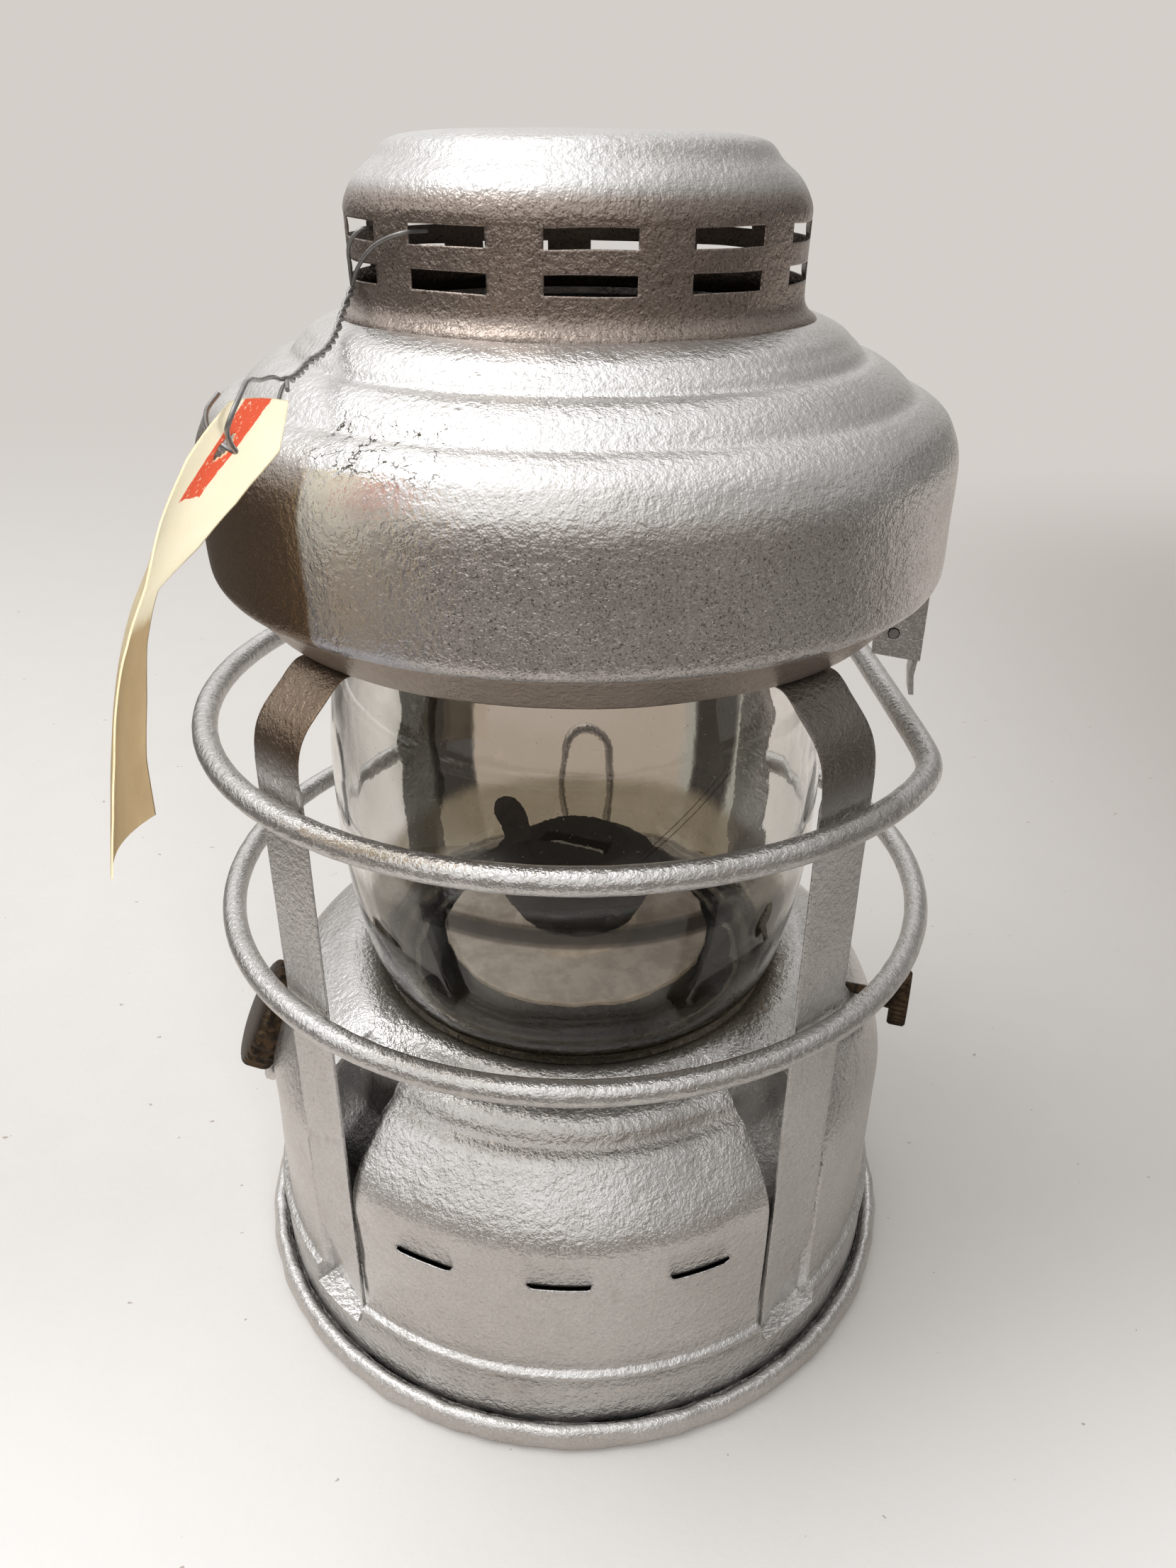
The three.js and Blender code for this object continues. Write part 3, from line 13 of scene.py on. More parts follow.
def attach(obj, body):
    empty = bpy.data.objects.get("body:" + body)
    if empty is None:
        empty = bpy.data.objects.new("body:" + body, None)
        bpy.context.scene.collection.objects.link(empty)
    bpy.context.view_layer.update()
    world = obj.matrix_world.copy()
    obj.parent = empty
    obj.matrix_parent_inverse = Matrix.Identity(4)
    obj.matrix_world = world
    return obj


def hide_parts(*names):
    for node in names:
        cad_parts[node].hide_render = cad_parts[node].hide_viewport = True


MM = 0.001

# Camera, as worked out from the ellipses of the photograph's rings
CAMERA_PLACE = (0.0, -277.3, 292.2)
CAMERA_YAW = 0.63
CAMERA_PITCH = 28.24
CAMERA_ROLL = 0.49
FOCUS_SHARE = 1650 / 2212  # focal length over the image's height
SENSOR_HEIGHT = 24
NEAR_CLIP = 0.01  # metres

# Base: pan, shell with its band, wall and strap pockets, and the collar under the globe
SHEET = 1.1
BEAD_INSIDE = 90.62
BEAD_RADIUS = 95.22
BEAD_HEIGHT = 7.6
BEAD_START = -0.62 * math.pi  # angle at which the rolled edge begins
PAN_TOP = 2.8
BAND_RADIUS = 90.02
BAND_HEIGHT = 22.0
WALL_RADIUS = 88.52
WALL_FOOT = 25.0
POCKET_RADIUS = 86.02
POCKET_FOOT = 19.7
POCKET_CLEARANCE = 0.3  # beside a strap
POCKET_EDGE = 1.2  # width over which the shell drops into a pocket
POCKET_COLUMNS = 11
PANEL_COLUMNS = 150
DOME_ROWS = 46
FRONT_FADE = (-15, 17)  # degrees from a strap over which the side's dome becomes the front's
POCKET_FADE = (0.78, 0.42)  # shares of the dome's rows between which the pockets run out
WALL_UNEVENNESS = 0.45
WALL_EVEN_BELOW = 26

# Straps, from the tab under the hood down to the slanted foot
STRAP_AZIMUTHS = {"front_left": -45, "front_right": 39, "rear_right": 135, "rear_left": 219}
STRAP_WIDTH = 16.5
STRAP_THICKNESS = 1.8
STRAP_FACE = 88.12
STRAP_FOOT = 20.0
STRAP_FOOT_SLANT = 22.0
STRAP_BEND = [  # outer face from the tab down to the straight leg, as (distance, height)
    (65.7, 199), (72.8, 199), (75.4, 198.6), (77.5, 197.2), (79.6, 195.2), (82.3, 192.8), (84.7, 190.4),
    (86.5, 187.6), (87.6, 184.2), (STRAP_FACE, 179.5),
]
STRAP_DENTS = 0.22
STRAP_DENTS_TOP = 186  # the bend above stays as it is
STRAP_EDGE = 0.45
STRAP_COLUMNS = 13
STRAP_LEG_ROWS = 60

# Guard rings. The upper one is knocked flat on its right side.
RING_RADIUS = 92.0
RING_WIRE = 6.0
RING_UNEVENNESS = 0.09
RING_UNEVEN_PITCH = 0.37
RING_SHRINK = 0.02  # keeps the uneven wire inside the round one
UPPER_RING = 171.8
LOWER_RING = 119.0
RING_STEPS = 360
LOWER_RING_STEPS = 280
RING_SIDES = 20
FLAT_AZIMUTH = 92
FLAT_DISTANCE = 79.2
FLAT_BLEND = 2.2
FLAT_SURE = 30  # blends further in than the flat are left out

# Rear hanger, a wire loop bent round the rear of the base
HANGER_RADIUS = 90.3
HANGER_CENTRE = 3.5
HANGER_GAP = 8.2
HANGER_BEND = 6.0
HANGER_FOOT = 71.5
HANGER_TOP = 118.0
HANGER_WIRE = 3.16
HANGER_CLEARANCE = 0.02
HANGER_ENDS = (45, 39)  # degrees from the rear

# Lip of the cage, with a notch in which the latch turns
LATCH_AZIMUTH = 80
NOTCH_DEPTH = 76.9  # the lip stops this far out
NOTCH_HALF_WIDTH = 8.0
LIP_SLOPE = 1.16
LIP_STEP = 1.6

# Chimney slots
SLOT_UPPER = 279.2
SLOT_LOWER = 271.5
SLOT_HEIGHT = 3.5
SLOT_FIRST = 2.7
SLOT_COUNT = 11
SLOT_COLUMNS = 36  # in each share of the chimney that has one slot
SLOT_OPEN_COLUMNS = 22
DRUM_RADIUS = 49.15
DRUM_TAPER = 0.15  # wider at the top
DRUM_DENTS = 0.3
CROWN_DENTS = 0.25

# Louvres in the front of the base
LOUVRE_SLIT = 53.5
LOUVRE_HEIGHT = 11.0
LOUVRE_WIDTH = 17.0
LOUVRE_DEPTH = 0.9
LOUVRE_LIP = 0.25
LOUVRE_GAP = 0.34
LOUVRE_BOW = 1.5  # a slit's ends stand this much higher
LOUVRE_AZIMUTHS = (-25.0, -2.4, 20.2)
LOUVRE_CORNER = 2.6
LOUVRE_MARGIN = 0.6
LOUVRES_WITHIN = 60  # azimuth
LOUVRES_ABOVE = 50  # height
LOUVRE_OPEN = 0.3  # the slit is open where a louvre is pressed in by this share

# Axes of the filler cap and the winder, as (azimuth, tilt, distance out, height, distance aside)
FILLER_AXIS = (-82, 27, 88.62, 75, 0.0)
WINDER_AXIS = (71.5, 0, 0, 89.5, 6.5)
WINDER_END = 91.42
KNOB_FOOT = WINDER_END - 2.5
STEPS_PER_FLUTE = 6

# Tie wire: points of its route, repeated from the part's source, and its real thickness
WIRE_ROUTE = [
    (-45.7, -21, 268.4), (-46.7, -28, 264.5), (-47.3, -36, 260.9), (-48.4, -42, 258.9), (-49.9, -48, 258.1),
    (-50.5, -54, 257.2), (-51.3, -60, 256.7), (-52, -67, 258.3), (-52.4, -76, 259.3), (-50.4, -88, 261.3),
    (-49.2, -97.1, 261.8), (-49.8, -102.8, 259.1), (-50.9, -102.8, 256.8), (-54, -89.7, 250.6),
    (-56.6, -86.8, 251), (-58.6, -86.3, 252.6), (-59.2, -84.6, 255.7), (-57.4, -82.7, 258.4),
]
STRAND_ROUTES = [
    [(-38.6, -23.4, 279.4), (-42.4, -26.7, 279.2), (-44.9, -25.4, 276.4), (-45.5, -23, 272.4), WIRE_ROUTE[0]],
    [(-28.4, -35.1, 279.6), (-32.6, -39.2, 279.4), (-38.4, -35.2, 277), (-43, -28.8, 272.6), WIRE_ROUTE[0]],
]
TAIL_AIMS = ((-48.4, -74.2, 257.6), (-50.2, -74.6, 255.4))  # behind the tag's corner
TAIL_LIFT = (0, 0, 0.5)
TAIL_PAST_AIM = 0.12
WIRE_STEPS = 260
STRAND_SIDES = 8
TWIST_THICKNESS = 1.6
STRAND_THICKNESS = 0.8
TWIST_LENGTH = 44  # of the route, along which two strands are twisted
TWIST_TURNS = 8
TWIST_UNEVENNESS = 0.5  # radians
TWIST_UNEVEN_PITCH = 0.7
TWIST_FADE = 6  # past the twist, the strand left comes to the route's middle
TWIST_FADE_SHARE = 0.8

# Tag: middle line from its upper end, and the direction of its width there
TAG_MIDDLES = [
    (-50.4, -86.5, 258.4), (-56.9, -86.8, 250.6), (-63.3, -88.6, 242.6), (-68.8, -90, 233.9),
    (-73.7, -92.2, 225), (-76.8, -93.8, 215.2), (-78.5, -96, 205.2), (-79.7, -98, 195.1),
    (-80.1, -100.8, 185.1),
]
TAG_ACROSS = [
    (0.157, 0.973, -0.167), (0.068, 0.981, -0.182), (-0.009, 0.984, -0.179), (-0.107, 0.985, -0.138),
    (-0.214, 0.971, -0.106), (-0.226, 0.965, -0.13), (-0.22, 0.96, -0.171), (-0.216, 0.954, -0.21),
    (-0.175, 0.952, -0.253),
]
TAG_CURL = (0.25, 0.25, 0.29, 0.28, 0.17, 0.17, 0.21, 0.21, 0.24)  # half the arc, in radians
TAG_HALF_WIDTH = 20.5
TAG_CLIP = 9.5
TAG_HOLE = 2.7  # radius
TAG_HOLE_DOWN = 9.9
TAG_HOLE_TORN = 0.25
TAG_THICKNESS = 0.4
TAG_WAVES = 0.35
TAG_DOWN_STEPS = 132
TAG_OUT_STEPS = 66
TAG_CHART = 100  # millimetres on the card for each unit of its chart
TAG_RIM = 0.9  # browned edge

# Tab on the flame hood, as (x, height)
TAB_FRONT = -0.5
TAB_THICKNESS = 0.9
TAB_OUTLINE = [
    (-12.4, 125.6), (-12.6, 129.6), (-13.8, 134.2), (-15.9, 137.6), (-18.8, 138.9), (-21.6, 138),
    (-22.5, 135), (-20.5, 131), (-18.4, 125.6),
]
TAB_POINTS = 40
TAB_RAGGEDNESS = 0.06

# Outlines as (radius, height)
HOOD_SKIN = [
    (50.1, 262.4), (52.5, 262), (55.4, 261), (58.5, 259.4), (60, 258), (61.7, 256.5), (62.9, 255),
    (63.7, 254.5), (64.8, 254.35), (66.2, 254), (68.1, 253.1), (70.4, 251.6), (72.5, 249.8), (73.8, 248.4),
    (74.6, 247.75), (75.6, 247.4), (77.3, 246.8), (80.4, 244.9), (82.1, 243.2), (83.4, 240.9),
    (84.6, 238.1), (85.2, 235.2), (85.4, 231), (85.4, 222), (85.4, 213.5), (85.1, 210.8), (84.3, 209.3),
    (83.3, 208.5),
]
HOOD_BACK = [
    (83.1, 209.4), (84, 210.8), (84.2, 214), (84.2, 230), (82.9, 238.5), (79.5, 243.2), (74, 245.8),
    (68, 251), (62.5, 252.8), (57, 258.5), (50.1, 260.8),
]
CROWN = [
    (0, 296.9), (12, 296.9), (24, 296.8), (32, 296.5), (37.4, 295.8), (39.9, 294.9), (41.2, 293.7),
    (42.2, 292.4), (43.2, 291.4), (44.9, 290.1), (46.7, 288.4), (48.1, 286.2), (49, 284.2),
]
DRUM_TOP = [(49.3, 283), (49.35, 282.2)]
DRUM_BETWEEN = 275.3  # height between the two rows of slots
DRUM_FOOT = [(49.1, 268.2), (49.1, 266.6), (49.2, 265.4), (49.6, 264.4), (50.5, 263.2), (52.2, 261.95)]
LIP = [
    (65.9, 199.3), (73.5, 199.3), (74.6, 199.45), (75.2, 200), (82.5, 208.4), (82.6, 208.9), (81.8, 209),
    (74.6, 200.5), (73.9, 200.4), (65.9, 200.4),
]
DOMES = {
    "front": [
        (88.52, 60), (88.45, 63.4), (88, 66.2), (86.6, 69.2), (84.2, 72.6), (81.4, 75.9), (78.6, 79.1),
        (76, 81.9), (74.3, 82.8), (72.6, 83.3), (71.6, 84.9), (70.1, 87.1), (67.8, 88.5), (65.2, 89),
        (63, 89.4), (61.3, 91), (59.9, 92.6), (58.3, 93.5), (56.5, 93.8), (54.2, 93.2),
    ],
    "side": [
        (88.52, 60), (88.52, 66), (88.1, 71), (86.9, 75.6), (85.2, 80), (82.9, 84.4), (79.6, 88.6),
        (75.6, 91.7), (71, 93.9), (67.4, 95.4), (64.4, 96.3), (61.4, 96.4), (58.6, 96), (56.2, 95.1),
        (54.2, 93.2),
    ],
    "pocket": [
        (86.02, 60), (85.9, 61.6), (85.2, 63.6), (83.4, 66.6), (80.6, 69.8), (77.2, 72.8), (74, 75.8),
        (71.4, 79.2), (69, 82), (66.6, 85.3), (64.2, 88), (61.4, 91), (58.6, 93.2), (56.4, 93.8),
        (54.2, 93.2),
    ],
}
PAN_BELOW = [(0.5, 1.6), (60, 1.6), (82, 1.6), (84, 0.6), (86, 0.02)]
PAN_ABOVE = [(90.12, 5.4), (90.12, 3.4), (89.9, 2), (88.6, 1.5), (84, 2.2), (60, 2.3), (0.5, 2.3)]
GLOBE_OUTSIDE = [
    (50, 91.5), (51.6, 92.3), (53.6, 94.6), (55.6, 97.8), (57.3, 101.8), (59.6, 111), (61.4, 121),
    (62.6, 132), (63.3, 148), (63, 163), (61.6, 176), (58.5, 188), (54.4, 197), (51, 203), (49.7, 206.5),
    (49.1, 209.6),
]
GLOBE_INSIDE = [
    (46.3, 209.6), (46.9, 206.5), (48.2, 203), (51.6, 196.4), (55.7, 187), (58.8, 175.4), (60.1, 163),
    (60.4, 148), (59.8, 132), (58.6, 121), (56.8, 111), (54.6, 102.6), (52.2, 97.6), (49.4, 94.6),
    (47.2, 93), (46.8, 91.6),
]
# Cap and knob, as (radius, height, share of the flutes' depth)
CAP = [
    (0.2, 4.4, 0), (6, 4.35, 0), (10.5, 4.1, 0), (13, 3.6, 0), (14.2, 3.2, 0.3), (15.1, 2.5, 1),
    (15.4, 1.8, 1), (15.45, 0, 1), (15.45, -2.8, 1), (15.2, -4.1, 1), (14.6, -4.45, 0.5), (12, -4.4, 0),
    (11.7, -2, 0), (11.7, 2.2, 0), (0.2, 2.25, 0),
]
KNOB = [
    (1.85, 2.6, 0), (5.4, 2.6, 0), (5.8, 4.4, 0), (7.1, 4.95, 0.4), (7.7, 4.4, 1), (7.75, 2.5, 1),
    (7.7, 0.7, 1), (7.2, 0.1, 0.5), (5.6, 0.3, 0), (3.6, 0.1, 0), (3.4, -2.1, 0), (1.85, -2.1, 0),
]

# Colours
BACKGROUND = (0.66, 0.625, 0.59)  # paper far behind
BROWN = (0.15, 0.085, 0.035)
PINHOLE = (0.055, 0.045, 0.04)
GRIME = (0.24, 0.19, 0.15)
DIRT_AND_SHADE_HAZE = (0.30, 0.235, 0.195)
FRECKLE = (0.06, 0.045, 0.035)
CRACK = (0.05, 0.04, 0.03)
OLD_BRASS = ((0.085, 0.052, 0.027), (0.02, 0.015, 0.011))
DULL_BRASS = ((0.36, 0.29, 0.22), (0.17, 0.13, 0.1))
SOOT = ((0.014, 0.010, 0.008), (0.006, 0.005, 0.004))
BEIGE = ((0.74, 0.65, 0.56), (0.52, 0.45, 0.38))
CORK = ((0.42, 0.28, 0.15), (0.25, 0.15, 0.08))
COTTON = ((0.62, 0.57, 0.46), (0.30, 0.26, 0.2))
GLASS_FRONT = (0.985, 0.985, 0.975)
GLASS_REAR_SHADE = (0.50, 0.51, 0.46)
GLASS_SHADOW_AND_SMOKE = (0.56, 0.485, 0.41)
GLASS_STRAP_SHADE = (0.055, 0.05, 0.045)
GLASS_SMOKE = (0.30, 0.26, 0.185)
GLASS_CORNER = (0.22, 0.2, 0.16)
GLASS_LINE = (0.07, 0.06, 0.05)
CARD_BACK = ((0.70, 0.57, 0.36), (0.78, 0.66, 0.44))
CARD_BACK_FIBRE = (0.45, 0.32, 0.16)
CARD_BACK_LIGHT = (0.98, 0.96, 0.86)  # light that comes through the card
CARD_FRONT = ((0.95, 0.915, 0.73), (0.975, 0.945, 0.78))
CARD_FIBRE = (0.76, 0.64, 0.40)
CARD_RIM = (0.50, 0.33, 0.15)
CARD_PATCH = ((0.80, 0.12, 0.055), (0.86, 0.17, 0.09))
CARD_LOW_SHADED = ((0.56, 0.43, 0.25), (0.68, 0.54, 0.34))
CARD_LIGHT = (0.98, 0.95, 0.83)
PAPER = ((0.70, 0.675, 0.65), (0.74, 0.717, 0.695))
PAPER_SHADED = (0.38, 0.352, 0.325)
PAPER_FIBRE = (0.6, 0.57, 0.54)
PAPER_LIT_FRONT = (0.91, 0.89, 0.87)
PAPER_FLECK = (0.3, 0.22, 0.16)
# Floor as the lantern mirrors it, its colours painted darker to the right, far left and front as shade
FLOOR_NEAR = (0.64, 0.60, 0.56)
FLOOR_RIGHT = (0.13, 0.118, 0.107)
FLOOR_LEFT = (0.12, 0.107, 0.095)
FLOOR_FRONT = (0.09, 0.072, 0.06)
FLOOR_CORNERS = [(-4, -3, 0), (4, -3, 0), (4, 5, 0), (-4, 5, 0)]
# Room, as left and right or as one colour
ROOM_SIDES = ((0.22, 0.2, 0.182), (0.06, 0.053, 0.047))
ROOM_BACK = (0.66, 0.63, 0.60)
ROOM_FRONT = (0.34, 0.285, 0.245)
ROOM_BELOW = ((1.0, 0.99, 0.98), (0.34, 0.33, 0.32))
ROOM_ABOVE = ((1.36, 1.36, 1.36), (0.56, 0.55, 0.535))

# Coats of silver paint: tone, depth of lumps, depth of orange peel, pinholes, grime and roughness
COATS = {
    "hood": (0.75, 0.26, 0.3, 0.5, 0.1, 0.27),
    "chimney": (0.66, 0.26, 0.3, 0.5, 0.15, 0.3),
    "base": (0.70, 0.34, 0.34, 0.35, 0.25, 0.27),
    "lip": (0.56, 0.2, 0.3, 0.8, 0.6, 0.34),
    "cage": (0.66, 0.3, 0.34, 0.5, 0.4, 0.28),
}
# A stain or a patch of painted shade is a span of azimuths and one of heights in metres, each with its two
# soft edges, and a colour
STAINS_AND_SHADE = {
    "hood": [
        # Painted shadow and reflection of the tag on the skirt
        ((-72, -36, 12, 0.8), (0.2, 0.243, 0.004, 0.006), BROWN),
        ((-36, -20, 0.8, 6), (0.205, 0.242, 0.004, 0.005), (0.44, 0.45, 0.5)),
    ],
    "base": [
        # Painted shade along the valley of the dome's front
        ((-30, 37, 25, 3), (0.0822, 0.0866, 0.0016, 0.0016), (0.46, 0.43, 0.40)),
        # Painted shadow in the pocket beside the front left strap
        ((-48, -37.6, 2, 0.6), (0.064, 0.087, 0.003, 0.005), (0.03, 0.026, 0.022)),
        ((-39.3, -37.9, 0.3, 0.3), (0.029, 0.066, 0.002, 0.002), (0.03, 0.024, 0.018)),
        ((32.7, 33.7, 0.3, 0.3), (0.057, 0.071, 0.001, 0.002), (0.03, 0.024, 0.018)),
    ],
    "lip": [((-200, 200, 1, 1), (0.19, 0.22, 0.001, 0.001), (0.36, 0.29, 0.235))],
    "cage": [
        ((-54, -36, 1, 1), (0.181, 0.2, 0.005, 0.002), BROWN),
        # Painted shade at the bend of the front right strap
        ((32, 46, 1, 1), (0.176, 0.2, 0.008, 0.002), (0.17, 0.145, 0.12)),
    ],
}
# Dark specks and a brownish haze, part dirt and part painted shade: no haze above the first height, all of it
# below the second, and the haze's share
FRECKLES = {"hood": (0.241, 0.231, 0.26), "chimney": (0.2885, 0.2845, 0.86)}
CRACKS = {"hood": ((-38, -16, 3, 3), (0.2425, 0.2515, 0.002, 0.002))}
FLAKE_SHARE = 0.25
DUST_SHARE = 0.22
FRECKLE_SHARE = 0.75
GRAIN_DEPTH = 0.1
PAINT_METAL = 0.93
CARD_LIGHT_SHARE = 0.5

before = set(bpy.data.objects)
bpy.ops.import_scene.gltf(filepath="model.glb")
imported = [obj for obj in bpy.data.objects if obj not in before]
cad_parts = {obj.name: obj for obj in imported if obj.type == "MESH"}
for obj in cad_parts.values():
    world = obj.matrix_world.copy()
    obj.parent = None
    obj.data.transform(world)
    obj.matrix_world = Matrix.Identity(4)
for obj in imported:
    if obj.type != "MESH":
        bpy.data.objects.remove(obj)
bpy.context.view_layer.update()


# Geometry helpers


def polar(radius, azimuth, height):
    angle = math.radians(azimuth)
    return np.array([radius * math.sin(angle), -radius * math.cos(angle), height])


def turned(x, y, degrees):
    angle = math.radians(degrees)
    return x * math.cos(angle) - y * math.sin(angle), x * math.sin(angle) + y * math.cos(angle)


def ease(low, high, value):
    """0 below low, 1 above high and smooth between them. low may be the greater one."""
    share = np.clip((value - low) / (high - low), 0, 1)
    return share * share * (3 - 2 * share)


def run_along(line):
    """How far along the line each of its points is."""
    return np.r_[0, np.cumsum(np.linalg.norm(np.diff(line, axis=0), axis=1))]


def smooth_line(points, count):
    """count points evenly spaced on a smooth curve through the given ones."""
    spots = np.array(points, float)
    spots = np.vstack([2 * spots[0] - spots[1], spots, 2 * spots[-1] - spots[-2]])
    line = []
    for i in range(1, len(spots) - 2):
        p0, p1, p2, p3 = spots[i - 1 : i + 3]
        t1 = max(np.linalg.norm(p1 - p0), 1e-6) ** 0.5
        t2 = t1 + max(np.linalg.norm(p2 - p1), 1e-6) ** 0.5
        t3 = t2 + max(np.linalg.norm(p3 - p2), 1e-6) ** 0.5
        for t in np.linspace(t1, t2, 24, endpoint=i == len(spots) - 3):
            a1 = (t1 - t) / t1 * p0 + t / t1 * p1
            a2 = (t2 - t) / (t2 - t1) * p1 + (t - t1) / (t2 - t1) * p2
            a3 = (t3 - t) / (t3 - t2) * p2 + (t - t2) / (t3 - t2) * p3
            b1 = (t2 - t) / t2 * a1 + t / t2 * a2
            b2 = (t3 - t) / (t3 - t1) * a2 + (t - t1) / (t3 - t1) * a3
            line.append((t2 - t) / (t2 - t1) * b1 + (t - t1) / (t2 - t1) * b2)
    line = np.array(line)
    run = run_along(line)
    at = np.linspace(0, run[-1], count)
    return np.column_stack([np.interp(at, run, column) for column in line.T])


def smooth_outline(points, count):
    return [tuple(p) for p in smooth_line(points, count)]


def refine(outline, step):
    """Adds points to a closed outline so that none are further apart than step."""
    made = []
    for here, after in zip(outline, outline[1:] + outline[:1]):
        parts = max(1, math.ceil(math.dist(here, after) / step))
        made += [tuple(np.array(here) + (np.array(after) - here) * k / parts) for k in range(parts)]
    return made


def bump(point, scale, seed=0.0):
    """Smooth noise from -1 to 1 with features about scale wide."""
    x, y, z = point
    return noise.noise(Vector((x / scale + seed, y / scale - seed, z / scale + 2 * seed)))


def widened(point, growth, radius):
    """Moves a point away from the lantern's axis."""
    share = growth / radius
    return point * np.array([1 + share, 1 + share, 1])


def grid_faces(columns, rows, wrap_columns=False, wrap_rows=False, keep=None):
    """Quads between columns of points, each column rows long. keep(column, row) may leave some out."""
    faces = []
    for i in range(columns if wrap_columns else columns - 1):
        for j in range(rows if wrap_rows else rows - 1):
            if keep is None or keep(i, j):
                a, b = i * rows, ((i + 1) % columns) * rows
                k = (j + 1) % rows
                faces.append((a + j, b + j, b + k, a + k))
    return faces


def join(parts):
    """Puts the points and faces of several parts into one list each."""
    points, faces = [], []
    for more, others in parts:
        faces += [tuple(k + len(points) for k in face) for face in others]
        points += more
    return points, faces


def make_piece(name, shape, material, body, replaced=(), sharp=38):
    """A shaded mesh from (points, faces), which rides on a body and stands for CAD nodes."""
    points, faces = shape
    mesh = bpy.data.meshes.new(name)
    mesh.from_pydata([tuple(float(x) * MM for x in point) for point in points], [], faces)
    mesh.polygons.foreach_set("use_smooth", [True] * len(mesh.polygons))
    mesh.set_sharp_from_angle(angle=math.radians(sharp))
    mesh.materials.append(material)
    piece = bpy.data.objects.new(name, mesh)
    bpy.context.scene.collection.objects.link(piece)
    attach(piece, body)
    if replaced:
        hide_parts(*replaced)
    return piece


def thicken(piece, thickness, offset=-1):
    """Gives an open skin its thickness: inward at an offset of -1, both ways at 0. Its faces look outward."""
    solid = piece.modifiers.new("thickness", "SOLIDIFY")
    solid.thickness = thickness * MM
    solid.offset = offset
    solid.thickness_clamp = 2
    return solid


def soften(piece, width):
    edge = piece.modifiers.new("edges", "BEVEL")
    edge.width = width * MM
    edge.segments = 2
    edge.limit_method = "ANGLE"
    edge.angle_limit = math.radians(40)
    edge.harden_normals = False


def revolve(outline, steps, dent, dent_scale, seed):
    """Turns a closed outline of (radius, height) about Z. dent moves its points in and out a little."""
    points = []
    for i in range(steps):
        azimuth = 360 * i / steps
        for radius, height in outline:
            point = polar(radius, azimuth, height)
            points.append(widened(point, dent * bump(point, dent_scale, seed), max(radius, 1)))
    return points, grid_faces(steps, len(outline), True, True)


def sweep(path, radius, sides, closed=False):
    """A round tube along a path. radius is a number or a function of the point's index."""
    path = np.array(path, float)
    count = len(path)
    if closed:
        run = np.roll(path, -1, 0) - np.roll(path, 1, 0)
    else:
        run = np.gradient(path, axis=0)
    run /= np.linalg.norm(run, axis=1)[:, None]
    normal = np.cross(run[0], (0.31, 0.17, 0.93))  # any direction that no path follows
    points = []
    for i in range(count):
        normal = normal - run[i] * (normal @ run[i])
        normal /= np.linalg.norm(normal)
        side = np.cross(run[i], normal)
        reach = radius(i) if callable(radius) else radius
        for k in range(sides):
            angle = 2 * math.pi * k / sides
            points.append(path[i] + reach * (math.cos(angle) * normal + math.sin(angle) * side))
    faces = grid_faces(count, sides, closed, True)
    if not closed:
        faces.append(tuple(range(sides)))
        faces.append(tuple(range((count - 1) * sides, count * sides))[::-1])
    return points, faces


def strand(path, steps=None):
    line = smooth_line(path, steps) if steps else path
    return sweep(line, STRAND_THICKNESS / 2, STRAND_SIDES)


# Camera


def add_camera():
    yaw, pitch, roll = (math.radians(a) for a in (CAMERA_YAW, CAMERA_PITCH, CAMERA_ROLL))
    forward = Vector((math.sin(yaw) * math.cos(pitch), math.cos(yaw) * math.cos(pitch), -math.sin(pitch)))
    right = Vector((math.cos(yaw), -math.sin(yaw), 0))
    up = right.cross(forward)
    right, up = (
        math.cos(roll) * right + math.sin(roll) * up,
        -math.sin(roll) * right + math.cos(roll) * up,
    )
    data = bpy.data.cameras.new("camera")
    data.sensor_fit = "VERTICAL"
    data.sensor_height = SENSOR_HEIGHT
    data.lens = FOCUS_SHARE * data.sensor_height
    data.clip_start = NEAR_CLIP
    camera = bpy.data.objects.new("camera", data)
    turn = Matrix((right, up, -forward)).transposed().to_4x4()
    camera.matrix_world = Matrix.Translation(Vector(CAMERA_PLACE) * MM) @ turn
    bpy.context.scene.collection.objects.link(camera)
    bpy.context.scene.camera = camera


# Materials


